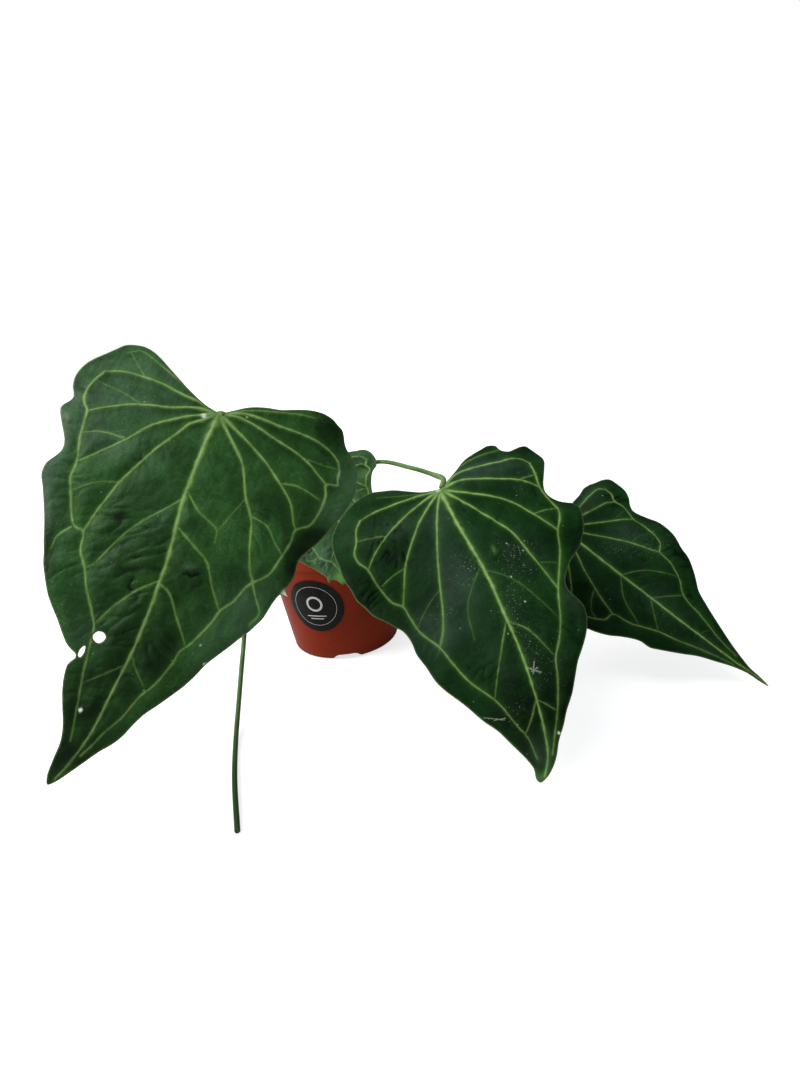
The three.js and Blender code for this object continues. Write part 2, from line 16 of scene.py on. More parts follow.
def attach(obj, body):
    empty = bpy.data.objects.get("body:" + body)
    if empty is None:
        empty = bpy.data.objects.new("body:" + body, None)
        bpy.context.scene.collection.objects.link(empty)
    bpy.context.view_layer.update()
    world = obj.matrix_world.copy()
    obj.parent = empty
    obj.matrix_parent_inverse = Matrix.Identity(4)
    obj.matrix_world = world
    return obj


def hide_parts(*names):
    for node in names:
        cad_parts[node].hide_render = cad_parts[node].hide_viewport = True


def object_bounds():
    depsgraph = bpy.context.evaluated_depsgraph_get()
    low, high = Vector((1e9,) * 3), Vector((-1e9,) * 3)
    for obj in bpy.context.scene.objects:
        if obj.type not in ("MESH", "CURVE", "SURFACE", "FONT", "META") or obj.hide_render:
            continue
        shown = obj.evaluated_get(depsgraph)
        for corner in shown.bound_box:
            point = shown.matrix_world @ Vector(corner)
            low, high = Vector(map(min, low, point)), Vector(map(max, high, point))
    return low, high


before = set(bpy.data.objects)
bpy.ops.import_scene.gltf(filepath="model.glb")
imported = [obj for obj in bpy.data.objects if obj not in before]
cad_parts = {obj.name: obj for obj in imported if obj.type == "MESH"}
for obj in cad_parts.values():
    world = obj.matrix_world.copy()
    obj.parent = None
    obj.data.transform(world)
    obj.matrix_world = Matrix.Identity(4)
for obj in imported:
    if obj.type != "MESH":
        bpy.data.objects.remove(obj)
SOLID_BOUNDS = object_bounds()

bl_info = {
    "name": "Potted anthurium",
    "version": (1, 0, 0),
    "blender": (4, 5, 0),
    "location": "View3D > Sidebar > Anthurium",
    "description": "Builds the finished pieces of a potted anthurium around its solids",
    "category": "Add Mesh",
}

MM = 0.001
BODY = "root"

# Pot and label, in millimetres
POT_HEIGHT = 93.0
FOOT_RADIUS = 40.0
FOOT_ROUND = 4.0
SIDE_RADIUS = 44.0
TAPER = math.radians(8.5)
WALL = 1.3
FLOOR = 1.6
COLLAR_BOTTOM = 80.0
COLLAR_STEP = 1.6
LIP_ROUND = 1.2
EDGE_ROUND = 0.35
WALL_STEP = 4.0
POT_SIDES = 176
POT_SHARP = math.radians(32)
CHANNEL_COUNT = 4
CHANNEL_FIRST = math.radians(-86.4)
CHANNEL_INNER = 20.0
CHANNEL_OUTER = 52.0
CHANNEL_BOTTOM_WIDTH = 26.3
CHANNEL_TOP_WIDTH = 15.6
CHANNEL_HEIGHT = 4.4
CHANNEL_SKIN = 1.3
CHANNEL_ROOM = 12.0
DRAIN_RADIUS = 3.4
DRAIN_FROM_AXIS = 26.0
DRAIN_SIDES = 28
LABEL_RADIUS = 22.8
LABEL_ANGLE = math.radians(-108.6)
LABEL_Z = 50.0
LABEL_GAP = 0.3
LABEL_THICKNESS = 0.3
LABEL_SOFT_EDGE = 0.12
LABEL_RINGS = 26
LABEL_SIDES = 112
LABEL_SHARP = math.radians(50)

# Potting mix and stem
MIX_TOP = 82.0
MIX_RELIEF = 1.5
STEM_HOLE = 9.4
STEM_HOLE_FLOOR = 65.5
BED_FLOOR = 6.3
BED_SHOULDER = 76.0
BED_GAP = 0.3
BED_SIDES = 150
BED_RINGS = 46
BARK_CHIPS = 300
PALE_GRIT = 150
MIX_SEED = 11
LUMP_SHARP = math.radians(48)
STEM_PROFILE = [
    (0, 66), (6, 66.5), (8.2, 72), (8.8, 80), (9.4, 86), (9.6, 92), (8.8, 98), (6.4, 103), (3.4, 106),
    (0, 107),
]
SHEATHS = [(250, 16, 29, 4.6), (110, 12, 25, 4.2), (335, 22, 20, 3.8)]  # angle, lean, height, width
SHEATH_PROFILE = [(0, 0), (0.9, 2), (1, 8), (0.8, 15)]
SHEATH_FOOT = (6.2, 0, 82)
SHEATH_FLATNESS = 0.55
AERIAL_ROOTS = [
    ([(0, -6, 92), (-3, -14, 92), (-7, -21, 85), (-9, -24, 76)], 1.6),
    ([(5, 2, 90), (13, 6, 90), (20, 10, 84), (24, 11, 75)], 1.8),
    ([(-4, 5, 90), (-9, 13, 89), (-13, 19, 82), (-14, 22, 74)], 1.5),
]

# Stalks: way points, then the radius at the foot, along the stalk and at the joint
STALKS = {
    "stalk_1": (
        [(-4.9, -3.4, 86), (-8, -8, 128), (-12, -17, 166), (-19, -52, 187), (-27, -100, 198),
         (-33, -136, 204.6), (-35.2, -147, 207.4)], 2.5, 1.9, 2.3),
    "stalk_2": (
        [(5.9, 1, 86), (8, 3.2, 114.7), (19.5, 1.2, 138.8), (42.4, -14.2, 149.9), (66.5, -45.9, 149),
         (81.2, -66.4, 146.6), (86.6, -75.4, 144.9), (85, -80.2, 141.2)], 2.4, 1.6, 1.95),
    "stalk_3": (
        [(3, -5.2, 86), (10, -6, 100), (32, -8, 109), (70, -16, 113), (115, -32, 113), (152, -48, 105),
         (171, -57, 96.4)], 2.4, 1.6, 2.0),
    "stalk_4": (
        [(0.5, 6, 86), (-1, 5, 125), (-1, -8, 148), (-0.3, -22, 151.5), (0.3, -29, 149.6)], 2.2, 1.3, 1.6),
    "stalk_cut": (
        [(-5.2, 3, 86), (-9, 2, 100), (-21, -7, 109), (-41.5, -22, 108), (-57.2, -36, 95), (-66, -50, 65),
         (-70.5, -60, 36), (-70, -84, 20.5), (-67.8, -112, 8.6), (-64, -141, 2.3), (-56, -179, 1.9),
         (-45.2, -219.7, 1.7)], 2.4, 1.8, 1.6),
}
CUT_STALK = "stalk_cut"
STALK_SIDES = 20
STALK_STEPS = 150
CUT_SHARP = math.radians(50)
JOINT_OVERLAP = 1.2  # how far a joint runs on into its blade
JOINT_START = 0.86  # share of a stalk's length where its joint begins to swell
FOOT_END = 0.2  # share of the length where its foot has run out

# Veins: half width at the start and at the end, strength of colour, height of the ridge
VEIN_KINDS = {
    "midrib": (1.22, 0.48, 1.0, 0.55),
    "primary": (0.76, 0.50, 0.87, 0.4),
    "collective": (0.70, 0.44, 0.74, 0.32),
    "ties": (0.54, 0.38, 0.56, 0.22),
    "faint": (0.42, 0.30, 0.32, 0.1),
}

# Blades: outlines, holes and veins are (across, along) from the notch, in millimetres. Primary veins
# leave out their first point, which is the start of the midrib. Bends are (across, along, spread,
# rise), furrows (across, along, half sizes, strength, angle), blisters and knots (across, along,
# size, height), scars (across, along, size) and scratches a start and an end. Places with dust, with
# a painted sheen, with a fresher green (on the young blade also light painted through its fold) and
# with painted shade are (across, along, half sizes, strength). "soft_start" is how strongly the veins
# show at their start, "vein_fall" how much the minor ones fade against the midrib and "sheen" how
# strongly the upper side mirrors the lamps.
FRONT_BLADE = {
    "node": "blade_1", "slot": "leaf_green", "look": "mid_green", "vein_scale": 1.0, "seed": 3,
    "soft_start": 0.4, "sheen": 0.10, "vein_fall": 1.0, "notch": (-35.3, -148.1, 208),
    "tip": (-107.5, -256.7, 68.3), "faces": (0.265, -0.823, 0.503), "bow": 8, "droop": 6, "half": 75,
    "ripple": 1.8, "pitch": 41, "start": 12,
    "bends": [(80, 50, 15, -9), (70, -20, 13, -5), (-74, 22, 9, -3)],
    "outline": [
        (0, -1), (5, -5), (12, -11), (20, -15), (28, -17.5), (37, -22.5), (43, -25.3), (50, -27),
        (56, -26.5), (60, -24.7), (63.3, -23.3), (65, -20.8), (67.5, -15.5), (69.5, -12.7), (72, -10.5),
        (75, -7.5), (78, -4), (80, 0), (81, 5), (82, 10), (82, 16), (81, 22), (79.7, 28), (77.5, 34),
        (75, 40), (72.5, 46), (70, 51), (68, 56), (66.5, 60), (66.5, 64), (67, 68), (66.8, 72), (65.3, 77),
        (65.1, 77.9), (67.5, 80.3), (64.6, 80.2), (63.5, 81), (62, 85), (61, 90), (60, 95), (58, 99.5),
        (56, 103.5), (53, 108), (50.4, 112.3), (46.7, 118), (43.3, 123.5), (40.8, 129.5), (37.9, 135.5),
        (34, 141.6), (29.8, 147.7), (26.2, 152.6), (23.4, 158.3), (21.4, 163.4), (18.6, 168), (14.6, 172.6),
        (10.5, 178.4), (6.3, 184.3), (2.6, 189.1), (0, 191), (-1.5, 188), (-2, 181), (-2.2, 173),
        (-4, 166.5), (-7.3, 159.5), (-10, 153.5), (-11.9, 147.8), (-12.7, 142.2), (-11.9, 140.2),
        (-10.9, 138.6), (-11.5, 137), (-13.4, 136), (-16.4, 134.4), (-20, 131), (-25, 125.5), (-30.8, 119.7),
        (-34, 116), (-38, 110), (-41.6, 104), (-44, 98.7), (-46, 95), (-48, 91), (-51, 85), (-55, 77.5),
        (-59, 70), (-62, 65), (-63, 61), (-63, 58), (-61.3, 53), (-60.5, 49), (-62, 44), (-64.5, 40),
        (-68, 35), (-71, 30.5), (-72.5, 27.3), (-72, 24.5), (-70.5, 22), (-70, 19.5), (-71, 17), (-73, 14),
        (-75.3, 8), (-75.8, 2.5), (-74.6, -2.5), (-71.6, -7), (-68, -11), (-64.2, -15.8), (-61, -20.3),
        (-57, -22.5), (-52, -23.6), (-47, -22.7), (-41.7, -20.3), (-34.2, -15.8), (-26.6, -11.3), (-19, -7),
        (-12, -3.6), (-6.3, -1.6),
    ],
    "holes": [
        [(-7.9, 127.4), (-6.8, 125), (-4.3, 124.7), (-2.6, 126.2), (-3, 128.2), (-4.3, 129.6), (-6.6, 129)],
        [(-9.2, 132.5), (-10.2, 133.8), (-10.5, 136), (-10, 137.5), (-9.2, 137.7), (-8.4, 135.3)],
    ],
    "midrib": [
        [(0, 0), (0.3, 20), (1.7, 40), (3.3, 56.7), (5.8, 70), (8.3, 85), (9.2, 96.7), (10.3, 110),
         (10.7, 130), (9.7, 146.7), (8.3, 166.7), (5, 180), (2, 188)],
    ],
    "primary": [
        [(-5, 6), (-11.7, 13.3), (-15, 21.7), (-19.2, 30), (-23.3, 40.8), (-27.5, 53.3), (-29.7, 65),
         (-31.7, 76.7), (-32.5, 84)],
        [(-8.3, 5), (-16.7, 10.8), (-28.3, 21.7), (-33.3, 30), (-41.7, 40.8), (-50, 51.7)],
        [(-11.7, 1.7), (-25, 7.5), (-38.3, 11.7), (-48.3, 17.5), (-59.2, 25)],
        [(-11.7, -2.5), (-21.7, -3.3), (-33.3, -5), (-43.3, -5.3), (-55, -4.2), (-61.7, -1.7),
         (-63.3, -0.8)],
        [(5, 5.8), (13.3, 14.2), (21.7, 23.3), (30, 40), (36.7, 50), (41.7, 65), (46.7, 76.7), (49, 79)],
        [(6.7, 3.3), (18.3, 9.2), (30, 15.8), (43.3, 25.8), (51.7, 33.3), (57.5, 43.5), (59, 45)],
        [(11.7, -2.5), (28.3, 0.8), (50, 5.8), (60, 11.7), (65.8, 15.8)],
        [(11.7, -5.8), (31.7, -7.2), (50, -8), (61.7, -5.8), (67.5, -1.7), (70, 3.3)],
    ],
    "collective": [
        [(-63.3, -0.8), (-65, 5), (-65.3, 13.3), (-63.3, 20), (-59.2, 25), (-57.5, 31.7), (-55.8, 40),
         (-50.8, 52.5), (-49.2, 61.7), (-45, 70), (-41, 78), (-36.7, 83.3), (-32.5, 84), (-29.2, 93.3),
         (-24.2, 100), (-20, 107.5), (-13.3, 116.7), (-9.2, 123.3), (-8.3, 126.7), (-6.7, 135),
         (-4.2, 146.7), (-1.7, 156.7), (1.7, 171.7)],
        [(70, 3.3), (70.8, 10), (71.7, 12.5), (65.8, 15.8), (67.5, 21.7), (67.5, 31.7), (65, 40),
         (59.2, 45.8), (59.2, 53.3), (57.5, 63.3), (55, 73.3), (50, 79.2), (47, 83), (44.2, 91.7),
         (40, 98.3), (38.3, 105), (32.5, 118.3), (30, 121.7), (29.2, 126.7), (25.8, 138.3), (21.4, 146),
         (17.7, 157), (13.6, 164.1), (11.2, 170), (7.9, 176.3)],
    ],
    "ties": [
        [(0, 0), (-11.7, -4.2), (-21.7, -8.3), (-33.3, -13.3), (-45, -18.3)],
        [(0, 0), (11.7, -8.3), (25, -14.2), (38.3, -19.2), (46.7, -21.3)],
        [(3.3, 48.3), (11.7, 55.8), (23.3, 61.7), (25, 68)],
        [(6.7, 67.5), (18.3, 74.2), (25, 78.3), (31.7, 88.3), (39.2, 98.3)],
        [(9.2, 95.8), (15, 98.3), (21.7, 106.7), (31.7, 119.2)],
        [(2.5, 52.5), (-5, 63.3), (-13.3, 75), (-16.7, 83.3), (-21.7, 97.5), (-24, 100)],
        [(8.3, 95), (1.7, 101.7), (-5, 111.7), (-9.2, 121.7)],
        [(35, 48.3), (45, 50), (51.7, 56.7), (57.5, 61.7)],
        [(42.5, 25.8), (51.7, 23.3), (65, 25.3)],
        [(-36.7, 32.5), (-48.3, 33.3), (-55.8, 36.7)],
        [(48.3, 79.2), (53.3, 86.7), (57.5, 93.3), (55, 100)],
        [(-38.3, 84.2), (-41.7, 90), (-41.7, 96.7)],
    ],
    "faint": [
        [(10.7, 130), (15, 135), (21, 141)],
        [(10, 135), (5, 140), (-3.3, 147.5)],
        [(51.7, 5), (58.3, 4.2), (69.2, 2.5)],
        [(-28.3, 55.8), (-36.7, 59.2), (-46.7, 68.3)],
        [(-38.3, 10.8), (-50, 7.5), (-63.3, 5.8)],
        [(-43.3, -5.3), (-56.7, -17.5)],
        [(-45, -18.3), (-52, -20), (-58, -16)],
        [(30, 40), (27, 52), (24, 62)],
    ],
    "furrows": [(-2, 92, 11, 24, 1, -36), (-18, 76, 14, 15, 0.75, -36), (0, 122, 14, 16, 0.6, -36),
        (-28, 102, 10, 11, 0.5, -36), (-50, 62, 11, 15, 0.45, -24), (-66, 24, 7, 14, 0.6, -8),
        (42, 56, 12, 15, 0.4, 30), (20, 130, 11, 18, 0.6, 24), (62, 10, 10, 15, 0.35, 10),
        (16, 34, 12, 15, 0.25, 50), (-24, 40, 12, 15, 0.3, 70), (2, 152, 14, 14, 0.5, -28),
        (24, 96, 16, 18, 0.35, 24), (56, -18, 9, 7, 0.5, 8)],
    "blisters": [(20.6, 84.6, 3.1, 1.6)],
    "scars": [(-6.9, 4.8, 1.25), (0.5, 158.5, 0.85), (13, -4.6, 0.45), (37.6, 116.3, 0.45),
        (66.5, 79.6, 2.5), (22, 143, 0.35), (-37, 9, 0.3), (42.4, 123.8, 0.6), (54.5, 106, 0.45)],
    "dusty": [(-38, 8, 6, 4, 0.7), (-30, 30, 14, 12, 0.35), (-58, 80, 8, 20, 0.3), (30, 60, 20, 20, 0.2)],
    # painted sheen: bluish grey where the upper side would mirror the light, and a highlight on the blister
    "bloom": [(-46, -8, 22, 9, 0.75), (-50, 12, 18, 8, 1), (-48, 34, 18, 10, 1), (-58, 62, 6, 14, 1),
        (-67, 34, 6, 14, 0.9), (52, 92, 9, 16, 1), (42, 112, 8, 14, 0.6), (-4, 62, 10, 16, 0.3),
        (-22, 102, 7, 12, 0.3), (-12, 128, 8, 10, 0.6), (76, 8, 7, 18, 1), (74, 29, 7, 6, 1),
        (20, 83, 3, 1.5, 1), (-52, 78, 6, 8, 0.9)],
    "bright": [(0, 3, 6, 7, 0.42)],
    # painted shade: the fold at the right margin, the tip, the lower half and other turned-away places
    "dark": [(65, 59, 6.5, 12, 1.6), (71, 47, 6, 9, 1.4), (75.5, 43, 4.5, 4, 1), (2, 176, 22, 28, 1),
        (4, 134, 20, 22, 0.6), (18, 124, 10, 16, 0.5), (20, 100, 14, 22, 0.35), (-10, 88, 9, 24, 0.45),
        (-32, 4, 18, 3.5, 0.35), (60, -21, 10, 5, 0.7), (52, -14, 14, 5, 0.45), (-48, 95, 4, 9, 0.9),
        (-40, 107, 5, 10, 0.8), (-44, 100, 8, 14, 0.3)],
}
MIDDLE_BLADE = {
    "node": "blade_2", "slot": "leaf_green", "look": "deep_green", "vein_scale": 0.96, "seed": 5,
    "soft_start": 0.5, "sheen": 0.045, "vein_fall": 1.45, "notch": (85.6, -81.8, 141),
    "tip": (115.5, -215.9, 10.3), "faces": (-0.049, -0.703, 0.71), "bow": 10, "droop": 8, "half": 75,
    "ripple": 1.8, "pitch": 46, "start": -8,
    "bends": [(-82, 2, 15, -5), (74, 66, 12, -5), (74, -14, 12, -3), (50, 106, 9, 2.5)],
    "outline": [
        (-2.6, 0.6), (1, -1.6), (5, -5.3), (12, -11.5), (20, -19.2), (28, -23.7), (35, -26.7), (40, -28.7),
        (44.5, -28.2), (46.5, -26.6), (47.2, -24), (49.2, -21.7), (53, -20.3), (58, -21.8), (63.2, -23.6),
        (67.3, -23.6), (70.4, -20.3), (73.5, -15.5), (74.8, -10.6), (73.9, -5.4), (70.8, 2), (67.5, 9.2),
        (64.4, 16.7), (63.7, 22), (65.8, 27.5), (70, 31.7), (74, 33.6), (77.5, 35), (79.7, 38.5), (79.6, 43),
        (78.6, 48), (76.7, 55), (73.3, 61), (69.2, 66.5), (64.2, 71), (58.3, 76.7), (53.3, 83.3), (50, 89.2),
        (49.7, 95), (51.7, 100), (54.2, 106), (54.4, 111), (52.5, 117.5), (49.2, 123.3), (44.2, 130),
        (39.5, 135.8), (35, 143.3), (30, 151.7), (24.2, 159.2), (20, 165.8), (15, 172.5), (10.8, 180),
        (6.7, 185), (2.5, 188.3), (-1.4, 189.6), (-2.9, 187.6), (-2.6, 182.5), (-5, 176.7), (-10, 168.3),
        (-15, 160), (-20.8, 153.3), (-28.3, 142.5), (-36.7, 131.7), (-40, 125.8), (-43, 116.7),
        (-46.3, 108.3), (-47.2, 101.7), (-48.5, 97), (-50.8, 92.5), (-54.2, 89), (-59.2, 83.3), (-65, 77.5),
        (-69.2, 70), (-73.3, 63.3), (-75.3, 55.8), (-77.5, 50), (-78.8, 43.3), (-79.5, 36.7), (-81, 28.3),
        (-81.8, 20), (-81.2, 13), (-79, 7), (-75, 1), (-69.5, -4.5), (-63.5, -8.8), (-59, -11.8),
        (-53.5, -13.9), (-47, -14.4), (-40, -12.5), (-31.7, -9.7), (-23.3, -5), (-15, -0.8), (-9, 0.4),
    ],
    "midrib": [
        [(-2, 2), (-2.5, 5), (-0.8, 21.7), (0.8, 35), (3.3, 50), (5.8, 65), (7.5, 80), (8.3, 91.7),
         (9.2, 105), (10.3, 116.7), (10.7, 133.3), (10.3, 150), (9.2, 165), (6.7, 178.3), (1.7, 187.5)],
    ],
    "primary": [
        [(-8.3, 16.7), (-13.3, 33.3), (-18.3, 53.3), (-21.7, 70), (-25, 88.3), (-28.3, 100), (-32.5, 108.3)],
        [(-5, 5), (-15, 15), (-23.3, 25), (-31.7, 38.3), (-39.2, 53.3), (-43.3, 66.7), (-46.7, 77.5)],
        [(-6.7, 3.7), (-20, 10), (-33.3, 17.5), (-45, 25.8), (-55, 35.8), (-61.7, 46.7)],
        [(-21.7, 2.5), (-35, 3.3), (-50, 4.7), (-59.2, 7.5)],
        [(5, 11.7), (15, 25), (23.3, 36.7), (30.8, 48.3), (35.8, 63.3), (40, 76.7), (44.2, 92.5)],
        [(8.3, 7.5), (20, 13.3), (31.7, 20), (41.7, 28.3), (50, 40), (59.2, 54.2)],
        [(11.7, -1.7), (25, 0.8), (38.3, 5), (50, 9.2), (60.8, 17.5)],
        [(11.7, -8.3), (28.3, -10.5), (43.3, -11.2), (51.7, -12), (59.2, -10), (62.5, -5)],
    ],
    "collective": [
        [(-59.2, 7.5), (-63.3, 13.3), (-65, 21.7), (-68, 30), (-66.7, 38.3), (-61.7, 46.7), (-59.2, 56.7),
         (-56.7, 63.3), (-52.5, 72.5), (-46.7, 77.5), (-44.2, 86.7), (-40.8, 96.7), (-32.5, 108.3),
         (-28.3, 118.3), (-21.7, 131.7), (-11.7, 144.2), (-9.2, 148.3), (-4.2, 160), (-0.8, 166.7),
         (0.8, 178.3)],
        [(62.5, -5), (62.2, 6.7), (61.3, 17.5), (63.3, 28.3), (65.8, 38.3), (63.3, 46.7), (59.2, 54.2),
         (55.8, 66.7), (50.8, 78.3), (44.2, 92.5), (41.7, 100), (38.3, 111.7), (33.3, 122.5), (28.3, 130.8),
         (25.8, 140), (22.5, 150), (19.2, 158.3), (14.2, 168.3), (9.2, 178.3)],
    ],
    "ties": [
        [(-2, 2), (13.3, -12.5), (25, -18.7), (38.3, -22), (46, -22.8)],
        [(8.7, 103.3), (1.7, 116.7), (-5, 130), (-11.7, 144.2)],
        [(8.7, 104), (18.3, 111.7), (27.5, 129)],
        [(10, 150), (3.3, 160), (-1.7, 165.8)],
        [(10.3, 150), (15, 154), (19.2, 158.3)],
        [(-45, 25.8), (-55, 23.3), (-65, 21.7)],
        [(-39.2, 53.3), (-48.3, 56.7), (-57.5, 60.8)],
        [(50, 38.3), (58.3, 37.5), (65, 37)],
        [(48.3, 9.2), (62.5, 7)],
    ],
    "faint": [
        [(-2, 2), (-15, 1), (-30, -3), (-45, -8)],
        [(5, 66.7), (-5, 80), (-10.8, 91.7), (-12.5, 110)],
        [(-21.7, 73.3), (-31.7, 81.7), (-41.7, 93.3)],
        [(5.8, 69), (13.3, 74), (21.7, 81.7), (28.3, 91.7), (38.3, 110)],
        [(40.8, 73.3), (48.3, 75), (51.7, 76.7)],
        [(-33, 109), (-35, 112.5)],
    ],
    "furrows": [(-44, 34, 14, 18, 1.3, -60), (-28, 60, 10, 14, 0.3, -44), (22, 110, 13, 16, 0.35, 34),
        (-12, 128, 12, 14, 0.4, -40), (54, -6, 10, 12, 0.4, 18), (62, 28, 9, 13, 0.45, 24),
        (30, 74, 13, 13, 0.3, 30), (-62, 66, 10, 13, 0.9, -34), (8, 30, 12, 14, 0.2, 60),
        (44, 118, 8, 12, 0.4, 40), (0, 160, 14, 14, 0.35, -30), (-40, 100, 8, 12, 0.4, -34)],
    "blisters": [(14, 62, 3.2, 0.4), (24, 34, 3.4, 0.35)],
    "scars": [(33, 63, 0.5), (20, 78.5, 0.5), (22.5, 95.8, 0.5), (31, 60.5, 0.35), (7, 111.5, 0.4),
        (16, 169, 0.7), (25, 56, 0.45), (36, 57, 0.3), (-18, 101, 0.3), (44, 21, 0.3)],
    "dusty": [(28, 66, 12, 16, 1.0), (-4, 66, 9, 12, 1.0), (14, 100, 10, 14, 0.8), (50, 10, 10, 10, 0.5),
        (-6, 150, 8, 8, 0.5), (20, 130, 12, 14, 0.5), (-26, 88, 10, 6, 0.7)],
    # painted sheen: bluish grey where the upper side would mirror the light
    "bloom": [(-14, 74, 14, 30, 0.75), (-34, 100, 12, 12, 0.9), (30, -8, 26, 10, 1), (-10, 24, 10, 20, 0.5),
        (52, 102, 6, 12, 0.6), (4, 178, 7, 12, 0.6), (0, 128, 8, 10, 0.3), (-38, 22, 16, 8, 0.35)],
    "knots": [(-4.2, 1.9, 1.7, 1.0)],
    "bright": [(0, 5, 9, 8, 0.32), (16, 58, 1.2, 3.2, 0.4), (-1, 187, 3, 3, 0.4)],
    # painted shade: the lower half, the tip and parts of the left lobe
    "dark": [(40, 44, 22, 40, 0.2), (24, 150, 22, 36, 0.75), (-46, 36, 18, 24, 0.25),
        (-66, 58, 14, 18, 0.35), (-6, 156, 16, 26, 0.55)],
    "scratches": [((11, 132.5), (17.5, 137)), ((15.5, 130.5), (13.2, 136.2)), ((12.5, 135), (16, 134)),
        ((-20, 151.7), (-10, 155.6)), ((-15, 154.4), (-9.5, 154.9))],
}
LOW_BLADE = {
    "node": "blade_3", "slot": "leaf_green", "look": "deep_green", "vein_scale": 0.68, "seed": 8,
    "soft_start": 0.8, "sheen": 0.045, "vein_fall": 2.0, "notch": (172.5, -57.3, 94.5),
    "tip": (280.9, -139.7, 2.8), "faces": (0.001, -0.743, 0.669), "bow": 8, "droop": 6, "half": 62,
    "ripple": 1.8, "pitch": 37, "start": 20,
    "bends": [(52, 26, 11, -3.5), (-50, 36, 12, -3)],
    "outline": [
        (0, -3), (5, -5), (12, -7), (18, -8.4), (25, -9), (33.3, -9.2), (40, -10.3), (45.8, -9.2),
        (50.3, -7), (56.3, -4.5), (60.8, -0.8), (62, 5), (61.2, 12.4), (56.7, 19.2), (50.8, 24.2),
        (47.6, 28.3), (47.2, 33.5), (48.7, 40), (50.9, 46.7), (50.3, 53.3), (47.5, 60.8), (41.9, 70),
        (38.7, 78.3), (31.7, 86.7), (26.5, 91.5), (21.7, 96), (16.7, 105), (10.8, 118.3), (5.8, 130.8),
        (2.5, 141.7), (0.9, 149.2), (0.8, 156.7), (-0.1, 164.2), (-1.8, 158.3), (-3.3, 149.2), (-6.7, 140),
        (-11.7, 130), (-16.7, 120), (-22.5, 111.7), (-30, 100), (-33, 94.2), (-33.7, 86.7), (-39.2, 76.7),
        (-44.2, 70), (-47.5, 63.3), (-49.2, 57), (-50, 50), (-49.6, 43), (-48, 37), (-47.6, 31), (-50, 25),
        (-54, 19), (-56, 12), (-56, 4), (-53, -4), (-47, -9), (-39, -12), (-30, -12.4), (-20, -10.5),
        (-11, -7.5), (-4, -4.6),
    ],
    "midrib": [
        [(0, -3), (-1.3, 15.8), (-2.5, 30), (-3.8, 50), (-4.5, 75), (-4.7, 96.7), (-4.2, 113.3), (-3, 135),
         (-1.3, 150), (0, 161.5)],
    ],
    "primary": [
        [(7, 13), (13.3, 25), (21.7, 41.7), (25.8, 53.3), (28.7, 60.8)],
        [(13.3, 8.7), (23.3, 17.5), (33.3, 25.8), (40, 32.5)],
        [(18.3, 3), (30, 6.7), (40, 9.7), (45.8, 13.7)],
        [(24.2, -2.8), (36.7, -3), (46.7, -1.7), (50.5, 2.5)],
        [(-9.2, 17.5), (-16.7, 30), (-25, 48.3), (-30.8, 63.3)],
        [(-21.7, 20.8), (-35.8, 34), (-43, 40)],
        [(-21, 6), (-36, 13), (-46, 20)],
        [(-20, -3.5), (-36, -5), (-46.5, -1.5)],
    ],
    "collective": [
        [(50.5, 2.5), (50, 8), (45.8, 13.7), (46.2, 20), (43.3, 26.7), (40, 32.5), (40.3, 41.7),
         (38.3, 51.7), (35, 57.5), (28.7, 60.8), (26.7, 70), (20, 81.7), (11.3, 90.8), (8.3, 103.3),
         (5, 115), (2.5, 125), (0.8, 138)],
        [(-46.5, -1.5), (-50.5, 5), (-50, 12.5), (-46, 20), (-42.5, 28), (-43, 36), (-44.5, 45), (-42.3, 52),
         (-40.2, 57.2), (-37.2, 61.7), (-30.8, 63.3), (-28.3, 75), (-20.8, 91.7), (-16.7, 105.8),
         (-12.5, 116.7), (-9, 126.7), (-5, 140)],
    ],
    "ties": [
        [(-4.2, 50.8), (-16.7, 61.7), (-25.8, 80.8)],
        [(-4.2, 50.8), (8.3, 60), (18.3, 75), (20, 79)],
        [(-4.7, 75), (-13.3, 83.3), (-20.5, 92)],
        [(-4.2, 75.8), (3.3, 82.5), (11.3, 90)],
        [(-23, 43.5), (-31.6, 46.9), (-37.2, 51.1), (-40.2, 57.2)],
    ],
    "faint": [
        [(-4.3, 112), (3.3, 116)],
        [(-4.7, 114), (-11.7, 117.5)],
        [(21.7, 41.7), (30, 43.3), (38.3, 48.3)],
        [(33.3, 22.5), (44.2, 23.7)],
        [(-25, 48), (-34, 46), (-43, 48)],
    ],
    "furrows": [(20, 48, 12, 13, 0.5, 30), (48, 14, 9, 11, 1.1, 20), (2, 68, 10, 13, 0.5, 34),
        (-14, 74, 10, 13, 0.45, -36), (14, 96, 8, 10, 0.5, 40), (34, 72, 7, 14, 1.1, 40),
        (-30, 50, 10, 12, 0.5, -40), (-6, 112, 8, 12, 0.4, -30)],
    "scars": [(30, 60, 0.35), (12, 40, 0.3), (44, 4, 0.35)],
    "dusty": [(30, 50, 14, 16, 0.6), (8, 36, 10, 12, 0.5), (-10, 90, 8, 12, 0.4)],
    # painted sheen: bluish grey where the upper side would mirror the light
    "bloom": [(30, 0, 22, 8, 0.6), (24, 34, 14, 12, 0.5), (-2, 80, 10, 20, 0.3), (-8, 120, 8, 14, 0.3)],
    # painted shade on the left half and towards the tip
    "dark": [(-34, 40, 18, 50, 0.6), (-6, 124, 16, 36, 0.4), (26, 84, 12, 20, 0.3)],
    "bright": [(0, 0, 4, 5, 0.3)],
}
